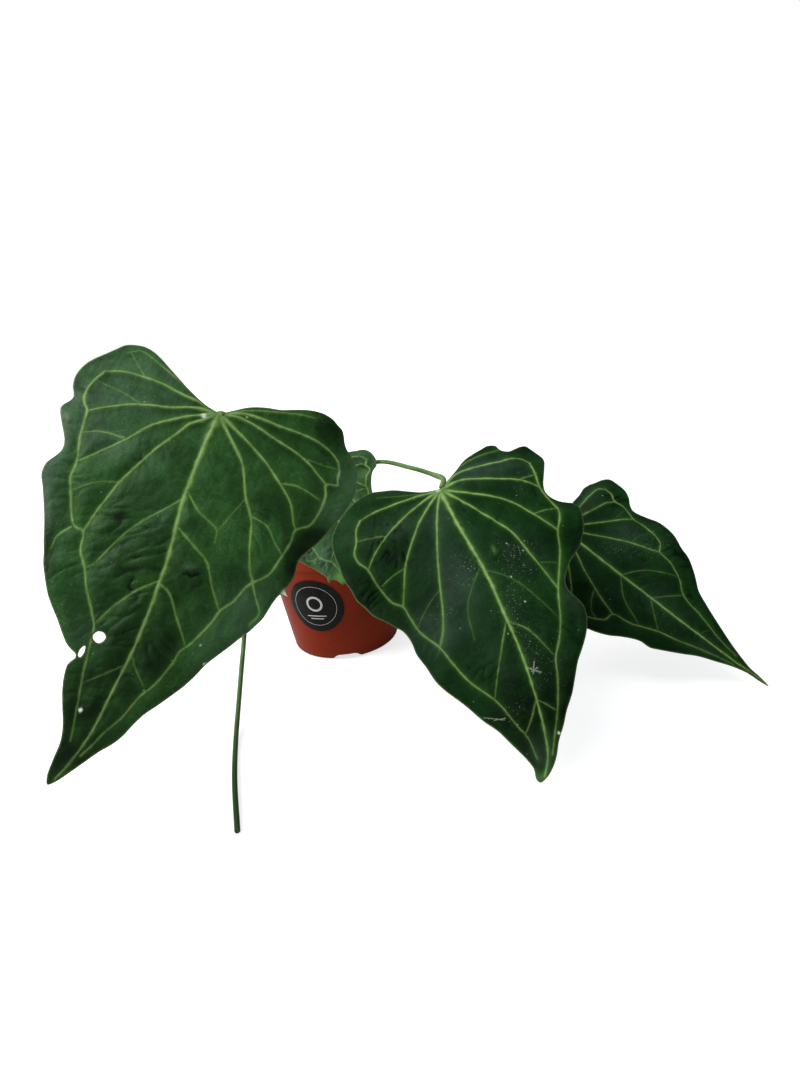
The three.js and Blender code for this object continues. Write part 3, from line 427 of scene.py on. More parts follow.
YOUNG_BLADE = {
    "node": "blade_4", "slot": "young_leaf_green", "look": "young_green", "vein_scale": 0.7, "seed": 13,
    "soft_start": 1.0, "sheen": 0.12, "vein_fall": 1.2, "notch": (0.5, -30.1, 149.3),
    "tip": (21.8, -86.1, 68.9), "faces": (0.029, -0.817, 0.576), "bow": 6, "droop": 5, "half": 45,
    "ripple": 1.2, "pitch": 27, "start": 4,
    "bends": [(36, 14, 7, 3), (-20, 84, 7, 3.5)],
    "outline": [
        (0, -2), (6, -7), (13, -10.5), (20, -12), (25, -12), (30, -11.5), (34, -11.4), (37.5, -10),
        (40.3, -7), (41.8, -2), (41.7, 2), (40.2, 7), (36.9, 10.8), (34.2, 15.4), (32, 21.7), (31, 28),
        (30.8, 37), (31, 46), (29, 56), (26, 66), (21.5, 76), (16, 85), (11, 94), (7.5, 101), (5, 103),
        (3.5, 99), (0, 93.5), (-4, 89.8), (-7, 87.6), (-8.6, 88.2), (-9.6, 87.2), (-10.8, 85.6), (-13, 83.7),
        (-15.1, 83.4), (-16.4, 84.2), (-17.2, 85), (-17.9, 83.4), (-17.9, 80.8), (-20.8, 76.7), (-24, 72.3),
        (-27.4, 69), (-33.8, 62), (-37, 54), (-37.4, 44), (-36, 35), (-36.2, 26), (-38.5, 18), (-41, 10),
        (-42, 2), (-40.4, -6), (-35.5, -12), (-28, -15), (-20, -14), (-12, -11), (-5, -6),
    ],
    "midrib": [
        [(0, 0), (0.5, 20), (1.5, 45), (3, 70), (4.5, 90), (5, 100)],
    ],
    "primary": [
        [(8, 14), (16, 30), (20, 46), (21, 52)],
        [(10, 8), (20, 15), (28.3, 22)],
        [(12, 1.5), (22, 2.2), (30, 1.5)],
        [(12, -4), (24, -6.5), (32, -5), (35, -1)],
        [(-6, 14), (-13, 30), (-18, 46), (-21.7, 56.7)],
        [(-10, 8), (-20, 17), (-28, 28), (-30.5, 34)],
        [(-14, 1), (-26, 3), (-34, 7)],
        [(-12, -5), (-24, -8.5), (-32, -8), (-36, -3)],
    ],
    "collective": [
        [(35, -1), (33, 3.3), (34.2, 6.7), (34.6, 9.6), (31, 14), (28.3, 20), (28.3, 26.7), (26, 35),
         (25, 44), (21, 52), (18, 62), (14, 74), (10, 86), (7, 96)],
        [(-36, -3), (-36.5, 3), (-34, 7), (-32, 15), (-30, 24), (-30.5, 34), (-29, 44), (-25, 52),
         (-21.7, 56.7), (-19.2, 64.2), (-15.8, 68), (-11.7, 70.4), (-9.2, 75.4), (-4, 84), (0, 90)],
    ],
    "ties": [
        [(2, 48), (-6, 60), (-11.7, 70.4)],
        [(2.5, 56), (9, 62), (15, 71)],
        [(-19.2, 64.2), (-24, 66), (-28, 64)],
        [(30, 1.5), (33, 3.3)],
        [(20, 23.7), (25, 23.3), (28.7, 23.2)],
    ],
    "faint": [
        [(9, 30), (18, 36), (25, 40)],
        [(-8, 34), (-17, 40), (-27, 44)],
    ],
    "furrows": [(-26, 56, 9, 14, 1, -70), (30, 4, 8, 9, 0.5, 20), (-8, 60, 9, 12, 0.6, -40),
        (-18, 74, 6, 7, 0.7, -66), (26, 34, 8, 12, 0.4, 30)],
    "scars": [(-19, 66, 0.35), (36, -2, 0.3)],
    "dusty": [(-22, 66, 6, 6, 0.8), (34, 0, 5, 6, 0.6)],
    # painted sheen: bluish grey where the upper side would mirror the light
    "bloom": [(30, -6, 10, 6, 0.5), (-18, 68, 12, 12, 1), (10, 30, 14, 16, 0.6), (-11, 84, 6, 4, 1)],
    # the first two patches are light painted through the fold near the tip; the others a fresher green
    "bright": [(-12, 84, 6, 4, 1), (-6, 82, 4, 5, 1), (0, 1, 4, 5, 0.3), (31, 14, 3, 6, 0.3)],
    # painted shade, also under the fold near the tip
    "dark": [(30, 8, 14, 12, 0.35), (-17, 79, 5, 2, 0.5)],
}
BLADES = [FRONT_BLADE, MIDDLE_BLADE, LOW_BLADE, YOUNG_BLADE]
BLADE_THICKNESS = 0.62
EDGE_STEP = 0.8
HOLE_STEP = 0.7
VEIN_STEP = 1.4
GRID_STEP = 0.8
GRID_ROW = GRID_STEP * 0.866
GRID_JITTER = 0.16
POINT_GAP = 0.58
ROW_GAP = 0.4
ROW_STEP = 0.9
ROW_PLACES = (0, 0.6, -0.6, 1.25, -1.25, 2.3, -2.3)  # rows of points beside a vein, in half widths
MAIN_STRENGTH = 0.5  # veins above this strength have a bulge beside them and a shadow side
VEIN_REACH = 14.0
VEIN_FADE = 0.22
END_FADE = 0.25
GLOW_WIDTH = 1.1
VALLEY_WIDTH = 2.2
SHADOW_DROP = 2.6
FAR_FROM_VEINS = 30.0
SCAR_POINTS = 40
SCRATCH_POINTS = 24
EDGE_CLEARANCE = 0.5
VALLEY_DEPTH = 0.5
BULGE_HEIGHT = 0.85
BULGE_REACH = 5.5
FURROW_DEPTH = 1.4
FURROW_LENGTH = 12.0
FURROW_SPACING = 4.6
FURROW_HALF = 0.24
CREASE_HALF = 0.15
CREASE_STRENGTH = 1.35
ROUGH_HEIGHT = 0.6
FINE_HEIGHT = 0.16
FLAT_MARGIN = 4.0  # over this width the relief runs out towards the rim
PLAIN_MARGIN = 1.5  # over this one the veins do
EDGE_LINE = 0.42
RIM_INSET = 0.12
RIM_THINNING = 0.1
UNDER_RIDGE = 1.25  # height of the ridges on the underside, against those on the upper side
PLANE_SHIFT = 40.0  # by which the blades' planes are kept apart, times their seeds
JUNCTION_REACH = 9.0
LOBE_END = 10.0
QUILT_START = 45.0
FULL_SCAR = 0.9  # scars of this size and more are fully pale
KNOT_PALENESS = 0.3
SCRATCH_PALENESS = 0.28
SCRATCH_WIDTH = 0.13
MASKS = ("vein", "glow", "edge", "scar", "dust", "bloom", "bright", "shade")

# Stage, in metres
CAMERA_PLACE = (0.054, -0.480, 0.234)
CAMERA_PITCH = math.radians(17.0)
CAMERA_ROLL = math.radians(-5.6)
PHOTO_HEIGHT = 1065
FOCAL_PIXELS = 610.0
SENSOR_MM = 36.0
LAMP_AIM = Vector((0.03, -0.12, 0.10))
FLOOR_RADIUS = 9.0
FLOOR_SIDES = 96


# Settings that a user would change
def colour(name, default, text):
    return bpy.props.FloatVectorProperty(
        name=name, description=text, subtype="COLOR", size=3, min=0, max=1, default=default)


def length(name, default, text):
    return bpy.props.FloatProperty(
        name=name, description=text, subtype="DISTANCE", unit="LENGTH", min=0, default=default)


def factor(name, default, text, top=1.0):
    return bpy.props.FloatProperty(
        name=name, description=text, subtype="FACTOR", min=0, max=top, default=default)


class BladeSettings(bpy.types.PropertyGroup):
    """Colours and relief of the leaf blades."""
    mid_green: colour("Front blade", (0.024, 0.086, 0.0165), "Upper side of the large front blade")
    deep_green: colour("Old blades", (0.0068, 0.0335, 0.0065), "Upper side of the two darker blades")
    young_green: colour("Young blade", (0.036, 0.104, 0.029), "Upper side of the small young blade")
    vein: colour("Veins", (0.30, 0.485, 0.140), "The main veins on the upper side")
    underside: colour("Underside", (0.085, 0.185, 0.065), "Lower side of every blade")
    glow: colour("Glow", (0.066, 0.172, 0.019), "The yellowish green beside the veins")
    # a fresher green, and on the young blade's fold light painted as if shining through
    fresh_and_lit: colour("Fresh patches", (0.145, 0.33, 0.068), "Yellowish green patches and folds")
    rim: colour("Rim", (0.16, 0.21, 0.08), "The thin pale line round each blade")
    relief: factor("Relief", 1.0, "How strongly veins and crinkles stand out", 2.0)
    roughness: factor("Roughness", 0.47, "Roughness of the upper side")


class StalkSettings(bpy.types.PropertyGroup):
    """Colours of the stalks and the stem."""
    stalk: colour("Stalk", (0.078, 0.156, 0.039), "Skin of the stalks")
    # a darker green towards the end of the cut stalk
    near_cut_end: colour("Old stalk", (0.015, 0.052, 0.008), "Skin towards the cut end")
    joint: colour("Joint", (0.15, 0.25, 0.075), "Swollen joint below each blade")
    foot: colour("Foot", (0.16, 0.14, 0.05), "Lowest stretch of each stalk")
    cut: colour("Cut end", (0.05, 0.09, 0.025), "Fresh end of the cut stalk")
    sheath: colour("Sheath", (0.30, 0.20, 0.10), "Papery sheaths on the stem")
    root: colour("Root", (0.33, 0.30, 0.20), "Aerial roots")


class PotSettings(bpy.types.PropertyGroup):
    """Colours and finish of the pot and its label."""
    plastic: colour("Plastic", (0.26, 0.025, 0.0050), "Terracotta-coloured plastic")
    film: colour("Label film", (0.0026, 0.0034, 0.0026), "Ground of the label")
    ink: colour("Label print", (0.72, 0.72, 0.66), "Ring and marks on the label")
    roughness: factor("Roughness", 0.38, "Roughness of the plastic")
    ring_radius: length("Ring radius", 0.0172, "Radius of the thin ring on the label")


class MixSettings(bpy.types.PropertyGroup):
    """Colours of the potting mix."""
    fibre: colour("Fibre", (0.045, 0.026, 0.015), "The fine fibre between the chips")
    bark: colour("Bark", (0.145, 0.068, 0.032), "Bark chips")
    grit: colour("Grit", (0.62, 0.58, 0.50), "Pale mineral grains")


class StageSettings(bpy.types.PropertyGroup):
    """Floor and light."""
    floor: colour("Floor", (0.55, 0.55, 0.545), "What the plain pale floor gives back to the plant")
    sky: factor("Soft light", 0.42, "Strength of the light from all round", 4.0)
    mirror: factor("Mirrored light", 0.09, "The same light as glossy skins mirror it", 4.0)
    paper: factor("Floor white", 0.72, "Added whiteness of the floor as the camera sees it", 2.0)
    key: bpy.props.FloatProperty(
        name="Key light", description="Power of the large soft lamp", min=0, default=27.0)
    key_size: length("Key size", 0.85, "Side of the large soft lamp")


# Lines, surfaces and meshes
def ease(x):
    """A soft step from 0 to 1."""
    t = np.clip(x, 0.0, 1.0)
    return t * t * (3 - 2 * t)


def smooth_line(points, spacing, closed=False, centripetal=True):
    """A Catmull-Rom line through the points, sampled about every `spacing`."""
    p = np.array(points, float)
    if closed:
        p = np.vstack([p[-1], p, p[0], p[1]])
    else:
        p = np.vstack([2 * p[0] - p[1], p, 2 * p[-1] - p[-2]])
    power = 0.5 if centripetal else 0.0
    rows = []
    for a, b, c, d in zip(p, p[1:], p[2:], p[3:]):
        k0, k1, k2 = (np.linalg.norm(y - x) ** power for x, y in ((a, b), (b, c), (c, d)))
        leave = c - b + k1 * ((b - a) / k0 - (c - a) / (k0 + k1))
        arrive = c - b + k1 * ((d - c) / k2 - (d - b) / (k1 + k2))
        steps = max(1, round(np.linalg.norm(c - b) / spacing))
        t = np.arange(steps)[:, None] / steps
        rows.append(((2 * (b - c) + leave + arrive) * t + 3 * (c - b) - 2 * leave - arrive) * t * t
                    + leave * t + b)
    if not closed:
        rows.append(p[-2:-1])
    return np.vstack(rows)


def distance_to_line(points, line, reach=None):
    """Distance from each point to a line, and how far along the line (0 to 1) the nearest place is."""
    near = np.ones(len(points), bool)
    if reach is not None:
        near = np.all((points > line.min(0) - reach) & (points < line.max(0) + reach), axis=1)
    distance = np.full(len(points), 1e3)
    place = np.zeros(len(points))
    start, step = line[:-1], np.diff(line, axis=0)
    squared = np.maximum((step ** 2).sum(1), 1e-12)
    run = np.concatenate([[0], np.cumsum(np.sqrt(squared))])
    index = np.flatnonzero(near)
    for part in np.array_split(index, max(1, len(index) * len(step) // 2_000_000)):
        if not len(part):
            continue
        away = points[part, None, :] - start[None]
        t = np.clip((away * step).sum(2) / squared, 0, 1)
        gap = np.hypot(away[..., 0] - t * step[:, 0], away[..., 1] - t * step[:, 1])
        best = gap.argmin(1)
        row = np.arange(len(part))
        distance[part] = gap[row, best]
        place[part] = (run[best] + t[row, best] * np.sqrt(squared[best])) / run[-1]
    return distance, place


def distance_to_loops(points, loops):
    """Distance from each point to the nearest of several closed lines."""
    return np.min([distance_to_line(points, np.vstack([loop, loop[:1]]))[0] for loop in loops], axis=0)


def inside_loop(points, loop):
    """Which points lie inside a closed loop."""
    inside = np.zeros(len(points), bool)
    x, y = points[:, 0], points[:, 1]
    for (x0, y0), (x1, y1) in zip(loop, np.roll(loop, -1, axis=0)):
        if y0 == y1:
            continue
        crosses = (y0 > y) != (y1 > y)
        inside ^= crosses & (x < (x1 - x0) * (y - y0) / (y1 - y0) + x0)
    return inside


def inside_blade(points, loops):
    """Which points lie inside the first loop and outside all others."""
    inside = inside_loop(points, loops[0])
    for hole in loops[1:]:
        inside &= ~inside_loop(points, hole)
    return inside


def first_in_cell(points, cell):
    """The points in their order, less those that share a cell with an earlier one."""
    _, index = np.unique(np.floor(points / cell).astype(int), axis=0, return_index=True)
    return points[np.sort(index)]


def scene_object(name, data):
    """A new object in the scene."""
    holder = bpy.data.objects.new(name, data)
    bpy.context.scene.collection.objects.link(holder)
    return holder


def smooth(mesh):
    mesh.polygons.foreach_set("use_smooth", np.full(len(mesh.polygons), True))


def new_piece(name, vertices, faces, materials, slot, material_index=None):
    """A mesh object in the frame of the solids, from vertices in millimetres."""
    mesh = bpy.data.meshes.new(name)
    mesh.from_pydata((np.asarray(vertices, float) * MM).tolist(), [], [list(f) for f in faces])
    mesh.validate()
    mesh.update()
    for look in materials:
        mesh.materials.append(look)
    if material_index is not None:
        mesh.polygons.foreach_set("material_index", np.asarray(material_index, np.int32))
    smooth(mesh)
    piece = scene_object(name, mesh)
    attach(piece, BODY)
    return piece


def hold_in_solid_bounds(piece):
    """Keeps every vertex inside the box of the solids."""
    low, high = (np.array(corner, float) for corner in SOLID_BOUNDS)
    mesh = piece.data
    place = np.empty(len(mesh.vertices) * 3)
    mesh.vertices.foreach_get("co", place)
    held = np.clip(place.reshape(-1, 3), low, high)
    mesh.vertices.foreach_set("co", held.ravel())
    mesh.update()


def add_values(piece, name, values):
    """A float for each vertex, read by the materials."""
    layer = piece.data.attributes.new(name, "FLOAT", "POINT")
    layer.data.foreach_set("value", np.asarray(values, np.float32))


def add_uv(piece, name, plane):
    """Flat coordinates for each vertex, in metres."""
    mesh = piece.data
    layer = mesh.uv_layers.new(name=name)
    corner = np.empty(len(mesh.loops), np.int32)
    mesh.loops.foreach_get("vertex_index", corner)
    layer.data.foreach_set("uv", (np.asarray(plane)[corner] * MM).astype(np.float32).ravel())


def turning(angle, axis):
    """The matrix of a turn about one of the axes 0, 1 or 2."""
    i, j = (axis + 1) % 3, (axis + 2) % 3
    matrix = np.eye(3)
    matrix[i, i] = matrix[j, j] = math.cos(angle)
    matrix[j, i] = math.sin(angle)
    matrix[i, j] = -matrix[j, i]
    return matrix


def ring(radius, z, count):
    """Points on a level circle about Z, or the one point on the axis where the radius is 0."""
    turns = [2 * math.pi * i / count for i in range(count if radius else 1)]
    return [(radius * math.cos(a), radius * math.sin(a), z) for a in turns]


def lathe(profile, segments):
    """Vertices and faces of a profile of (radius, height) turned about Z."""
    vertices, faces, rows = [], [], []
    for radius, z in profile:
        points = ring(radius, z, segments)
        rows.append((len(vertices), len(points)))
        vertices += points
    for (low, n_low), (high, n_high) in zip(rows, rows[1:]):
        for i in range(segments):
            j = (i + 1) % segments
            corners = [low + i % n_low, low + j % n_low, high + j % n_high, high + i % n_high]
            faces.append(list(dict.fromkeys(corners)))
    return vertices, faces


def prism(section, place, near, far):
    """A straight bar: each corner of the section goes through `place` at both ends."""
    n = len(section)
    vertices = [place(near, *corner) for corner in section] + [place(far, *corner) for corner in section]
    sides = [(i, (i + 1) % n, n + (i + 1) % n, n + i) for i in range(n)]
    return vertices, [tuple(range(n))[::-1], tuple(range(n, 2 * n)), *sides]


def tube(points, radius_at, sides, steps):
    """A round tube along a smooth line. Returns vertices, faces and each ring's place (0 to 1)."""
    fine = smooth_line(points, 0.5, centripetal=False)
    run = np.concatenate([[0], np.cumsum(np.linalg.norm(np.diff(fine, axis=0), axis=1))])
    share = np.linspace(0, 1, steps + 1)
    centre = np.stack([np.interp(share * run[-1], run, fine[:, k]) for k in range(3)], 1)
    along = np.gradient(centre, axis=0)
    along /= np.linalg.norm(along, axis=1)[:, None]
    side = np.cross(along[0], (0.3, 0.9, 0.2))
    vertices, places = [], []
    for k, (middle, way) in enumerate(zip(centre, along)):
        side = side - way * side.dot(way)
        side /= np.linalg.norm(side)
        other = np.cross(way, side)
        for i in range(sides):
            a = 2 * math.pi * i / sides
            vertices.append(middle + radius_at(share[k], a) * (side * math.cos(a) + other * math.sin(a)))
            places.append(share[k])
    faces = []
    for k in range(steps):
        for i in range(sides):
            j = (i + 1) % sides
            faces.append((k * sides + i, k * sides + j, (k + 1) * sides + j, (k + 1) * sides + i))
    for k in (0, steps):
        hub = len(vertices)
        vertices.append(centre[k])
        places.append(share[k])
        for i in range(sides):
            a, b = k * sides + i, k * sides + (i + 1) % sides
            faces.append((hub, b, a) if k == 0 else (hub, a, b))
    return vertices, faces, places


def join_shapes(shapes):
    """Several (vertices, faces) as one, with the number of the shape for each face."""
    vertices, faces, owner = [], [], []
    for number, (points, loops) in enumerate(shapes):
        start = len(vertices)
        vertices.extend(points)
        faces.extend([start + i for i in loop] for loop in loops)
        owner.extend([number] * len(loops))
    return vertices, faces, owner


def shaping_tool(name, vertices, faces):
    """A closed shape that helps to form a piece and doesn't stay."""
    mesh = bpy.data.meshes.new(name)
    mesh.from_pydata([Vector(v) * MM for v in vertices], [], faces)
    return scene_object(name, mesh)


def combine(piece, operation, tool):
    """Lets a tool cut, trim or join a piece, as a modifier."""
    change = piece.modifiers.new(tool.name, "BOOLEAN")
    change.operation = operation
    change.solver = "EXACT"
    change.object = tool


def keep_result(piece, tools):
    """Makes what the modifiers show the piece's own mesh, and removes the tools."""
    bpy.context.view_layer.update()
    shown = piece.evaluated_get(bpy.context.evaluated_depsgraph_get())
    mesh = bpy.data.meshes.new_from_object(shown)
    piece.modifiers.clear()
    piece.data = mesh
    for tool in tools:
        bpy.data.objects.remove(tool)


def carve(piece, cutters):
    """Cuts closed shapes out of a piece."""
    tools = [shaping_tool(f"cutter_{number}", *shape) for number, shape in enumerate(cutters)]
    for tool in tools:
        combine(piece, "DIFFERENCE", tool)
    keep_result(piece, tools)


# Shader nodes and shared effects
class Nodes:
    """Adds nodes to a tree. Each call returns the output that the next one takes."""

    def __init__(self, tree):
        self.tree = tree

    def add(self, kind, inputs=None, **settings):
        node = self.tree.nodes.new("ShaderNode" + kind)
        for name, value in settings.items():
            setattr(node, name, value)
        for socket, value in (inputs or {}).items():
            self.feed(node.inputs[socket], value)
        return node

    def feed(self, socket, value):
        if isinstance(value, bpy.types.NodeSocket):
            self.tree.links.new(value, socket)
        elif socket.type == "RGBA" and len(value) == 3:
            socket.default_value = (*value, 1)
        else:
            socket.default_value = value

    def math(self, operation, a, b=0.0):
        return self.add("Math", {0: a, 1: b}, operation=operation).outputs[0]

    def times(self, a, b):
        return self.math("MULTIPLY", a, b)

    def plus(self, a, b):
        return self.math("ADD", a, b)

    def mix(self, share, a, b):
        return self.add("Mix", {0: share, 6: a, 7: b}, data_type="RGBA").outputs[2]

    def blend_values(self, share, a, b):
        return self.add("Mix", {0: share, 2: a, 3: b}, data_type="FLOAT").outputs[0]

    def step(self, value, low, high, out_low=0.0, out_high=1.0):
        inputs = {"Value": value, 1: low, 2: high, 3: out_low, 4: out_high}
        return self.add("MapRange", inputs, interpolation_type="SMOOTHSTEP").outputs[0]

    def noise(self, where, scale, detail=3.0, rough=0.55, twist=0.0):
        inputs = {"Vector": where, "Scale": scale, "Detail": detail, "Roughness": rough,
                  "Distortion": twist}
        return self.add("TexNoise", inputs).outputs["Fac"]

    def length(self, vector):
        return self.add("VectorMath", {0: vector}, operation="LENGTH").outputs["Value"]

    def value(self, name):
        return self.add("Attribute", attribute_name=name).outputs["Fac"]

    def stretch(self, where, scale):
        return self.add("Mapping", {"Vector": where, "Scale": scale}).outputs[0]

    def bump(self, height, depth, strength):
        return self.add("Bump", {"Height": height, "Distance": depth, "Strength": strength}).outputs[0]


SOCKETS = {"value": "NodeSocketFloat", "colour": "NodeSocketColor", "vector": "NodeSocketVector"}


def effect(name, inputs, outputs, build):
    """A shader node group, made once. `build` takes Nodes and the inputs and returns the outputs."""
    if name in bpy.data.node_groups:
        return bpy.data.node_groups[name]
    group = bpy.data.node_groups.new(name, "ShaderNodeTree")
    for label, kind, default in inputs:
        socket = group.interface.new_socket(name=label, in_out="INPUT", socket_type=SOCKETS[kind])
        if default is not None:
            socket.default_value = (*default, 1) if kind == "colour" else default
    for label, kind in outputs:
        group.interface.new_socket(name=label, in_out="OUTPUT", socket_type=SOCKETS[kind])
    n = Nodes(group)
    entry = group.nodes.new("NodeGroupInput")
    leave = group.nodes.new("NodeGroupOutput")
    results = build(n, {label: entry.outputs[label] for label, _, _ in inputs})
    for label, _ in outputs:
        group.links.new(results[label], leave.inputs[label])
    return group


def mottle_effect():
    """Uneven colour: broad clouds and smaller patches between a dark and a light tone."""
    def build(n, given):
        where, size = given["Coordinates"], given["Patches"]
        broad = n.noise(where, size, 2.0, 0.5, 0.4)
        small = n.noise(where, n.times(size, 4.3), 4.0, 0.62)
        share = n.plus(n.times(broad, 0.72), n.times(small, 0.28))
        return {"Color": n.mix(n.step(share, 0.36, 0.64), given["Dark"], given["Light"])}
    return effect(
        "Mottle",
        [("Coordinates", "vector", None), ("Patches", "value", 40.0), ("Dark", "colour", (0, 0, 0)),
         ("Light", "colour", (1, 1, 1))],
        [("Color", "colour")], build)


def net_effect():
    """The fine net of veinlets: two sizes of cells with soft walls."""
    def build(n, given):
        wobble = n.add("TexNoise", {"Vector": given["Coordinates"], "Scale": 160.0, "Detail": 2.0})
        shift = n.add("VectorMath", {0: wobble.outputs["Color"], 1: (0.5, 0.5, 0.5)}, operation="SUBTRACT")
        shift = n.add("VectorMath", {0: shift.outputs[0], "Scale": 0.0032}, operation="SCALE")
        where = n.add("VectorMath", {0: given["Coordinates"], 1: shift.outputs[0]}).outputs[0]
        walls = []
        for cells, width in ((given["Wide Cells"], 0.10), (given["Small Cells"], 0.14)):
            cell = n.add("TexVoronoi", {"Vector": where, "Scale": cells}, feature="DISTANCE_TO_EDGE")
            walls.append(n.step(cell.outputs["Distance"], 0.0, width, 1.0, 0.0))
        return {"Wide": walls[0], "Small": walls[1]}
    return effect(
        "Veinlet net",
        [("Coordinates", "vector", None), ("Wide Cells", "value", 150.0), ("Small Cells", "value", 520.0)],
        [("Wide", "value"), ("Small", "value")], build)


def speck_effect():
    """Scattered small specks, as of dust or mineral spots: a mask with soft edges."""
    def build(n, given):
        spot = n.add("TexVoronoi", {"Vector": given["Coordinates"], "Scale": given["Per Metre"]})
        chosen = n.add("SeparateColor", {0: spot.outputs["Color"]})
        size = n.times(chosen.outputs[1], given["Size"])
        disc = n.math("SUBTRACT", size, spot.outputs["Distance"])
        here = n.math("LESS_THAN", chosen.outputs[0], given["Share"])
        return {"Mask": n.times(n.step(disc, 0.0, 0.05), here)}
    return effect(
        "Specks",
        [("Coordinates", "vector", None), ("Per Metre", "value", 300.0), ("Size", "value", 0.2),
         ("Share", "value", 0.1)],
        [("Mask", "value")], build)


def grain_effect():
    """Fine surface grain as a height, from two sizes of noise."""
    def build(n, given):
        coarse = n.noise(given["Coordinates"], given["Per Metre"], 4.0, 0.6)
        fine = n.noise(given["Coordinates"], n.times(given["Per Metre"], 5.1), 2.0, 0.5)
        return {"Height": n.plus(n.times(coarse, 0.65), n.times(fine, 0.35))}
    return effect(
        "Grain", [("Coordinates", "vector", None), ("Per Metre", "value", 400.0)],
        [("Height", "value")], build)


def wear_effect():
    """Faint rubbed streaks and smudges: a mask."""
    def build(n, given):
        streak = n.noise(n.stretch(given["Coordinates"], (1.0, 1.0, 0.16)), 420.0, 3.0, 0.6, 0.5)
        cloud = n.noise(given["Coordinates"], 46.0, 3.0, 0.6)
        mask = n.times(n.step(streak, 0.60, 0.74), n.step(cloud, 0.5, 0.66))
        smudge = n.times(n.step(n.noise(given["Coordinates"], 90.0, 5.0, 0.7), 0.56, 0.74), 0.5)
        return {"Mask": n.times(n.math("MAXIMUM", mask, smudge), given["Amount"])}
    return effect(
        "Wear", [("Coordinates", "vector", None), ("Amount", "value", 1.0)], [("Mask", "value")], build)


def use(n, group, **values):
    """Places a group in a material. Spaces in socket names are written as underscores."""
    node = n.add("Group", node_tree=group)
    for label, value in values.items():
        n.feed(node.inputs[label.replace("_", " ")], value)
    return node.outputs


def scaled(tone, k):
    return tuple(min(1.0, c * k) for c in tone)


def mottled(n, where, tone, patches, dark, light):
    """A tone with uneven patches, from `dark` to `light` times as bright."""
    return use(n, mottle_effect(), Coordinates=where, Patches=patches, Dark=scaled(tone, dark),
               Light=scaled(tone, light))["Color"]


def speckled(n, where, per_metre, size, share):
    """A mask of small specks."""
    return use(n, speck_effect(), Coordinates=where, Per_Metre=per_metre, Size=size, Share=share)["Mask"]


def grained(n, where, per_metre):
    """The height of a fine grain."""
    return use(n, grain_effect(), Coordinates=where, Per_Metre=per_metre)["Height"]


def new_material(name, constants):
    """A material with one Principled shader. Returns it with its Nodes and the shader."""
    look = bpy.data.materials.new(name)
    look.use_nodes = True
    tree = look.node_tree
    tree.nodes.clear()
    n = Nodes(tree)
    shader = n.add("BsdfPrincipled", constants)
    out = n.add("OutputMaterial")
    tree.links.new(shader.outputs[0], out.inputs["Surface"])
    return look, n, shader


def finish(n, shader, tone, roughness, height, depth, strength):
    """Feeds colour, roughness and fine relief into a material's shader."""
    n.feed(shader.inputs["Base Color"], tone)
    n.feed(shader.inputs["Roughness"], roughness)
    n.feed(shader.inputs["Normal"], n.bump(height, depth, strength))


def space(n):
    """Coordinates fixed to the piece, in metres."""
    return n.add("TexCoord").outputs["Object"]


# Materials
def upper_side_material(blade, settings):
    """Upper side of a blade: satin green, pale veins with a soft glow, fine dust; painted sheen and crease
    shade.
    """
    tone = getattr(settings, blade["look"])
    look, n, shader = new_material(blade["node"] + " upper side", {"Specular IOR Level": blade["sheen"]})
    where = n.add("UVMap", uv_map="leaf_plane").outputs[0]
    net = use(n, net_effect(), Coordinates=where, Wide_Cells=170.0, Small_Cells=560.0)
    grain = grained(n, where, 800.0)
    vein, dust = n.value("vein"), n.value("dust")
    pores = n.step(n.noise(where, 900.0, 3.0, 0.65), 0.36, 0.66, 0.72, 0.0)
    broken = n.step(n.noise(where, 75.0, 3.0, 0.6), 0.4, 0.66)
    ripe = n.mix(n.times(pores, 0.5), mottled(n, where, tone, 42.0, 0.70, 1.26), scaled(tone, 0.35))
    ripe = n.mix(n.times(n.times(net["Wide"], broken), 0.15), ripe, scaled(tone, 2.6))
    ripe = n.mix(n.times(n.times(net["Small"], broken), 0.08), ripe, scaled(tone, 2.4))
    ripe = n.mix(n.times(n.value("glow"), 0.62), ripe, settings.glow)
    # paler green patches; on the young blade's fold this is light painted as if shining through
    ripe = n.mix(n.value("bright"), ripe, settings.fresh_and_lit)
    # painted shade: darkens the green in creases, blister folds, beside the main veins and in the dark spots
    ripe = n.mix(n.times(n.value("shade"), 0.93), ripe, scaled(tone, 0.14))
    uneven = n.step(n.noise(where, 110.0, 4.0, 0.6), 0.3, 0.62, 0.62, 1.0)
    ripe = n.mix(n.times(vein, uneven), ripe, settings.vein)
    ripe = n.mix(n.times(n.value("edge"), 0.5), ripe, settings.rim)
    # painted sheen: a bluish grey laid over the green where the upper side would mirror the light
    bloom = n.times(n.value("bloom"), n.step(n.noise(where, 60.0, 4.0, 0.6), 0.3, 0.7, 0.4, 1.0))
    ripe = n.mix(n.times(bloom, 0.10), ripe, (0.30, 0.36, 0.36))
    mist = speckled(n, where, 1300.0, 0.42, 0.34)
    ripe = n.mix(n.times(dust, n.plus(n.times(mist, 0.62), 0.012)), ripe, (0.42, 0.49, 0.42))
    dots = speckled(n, where, 520.0, 0.24, 0.05)
    ripe = n.mix(n.times(dots, n.plus(n.times(dust, 0.6), 0.2)), ripe, (0.46, 0.56, 0.42))
    ripe = n.mix(n.value("scar"), ripe, (0.84, 0.94, 0.74))
    rough = n.plus(settings.roughness, n.times(n.math("SUBTRACT", grain, 0.5), 0.3))
    rough = n.plus(n.plus(rough, n.times(vein, 0.10)), n.times(dust, 0.12))
    height = n.plus(n.times(grain, 0.5), n.times(net["Wide"], 0.22))
    height = n.plus(height, n.times(net["Small"], 0.16))
    finish(n, shader, ripe, rough, height, 0.00022, 0.8)
    return look


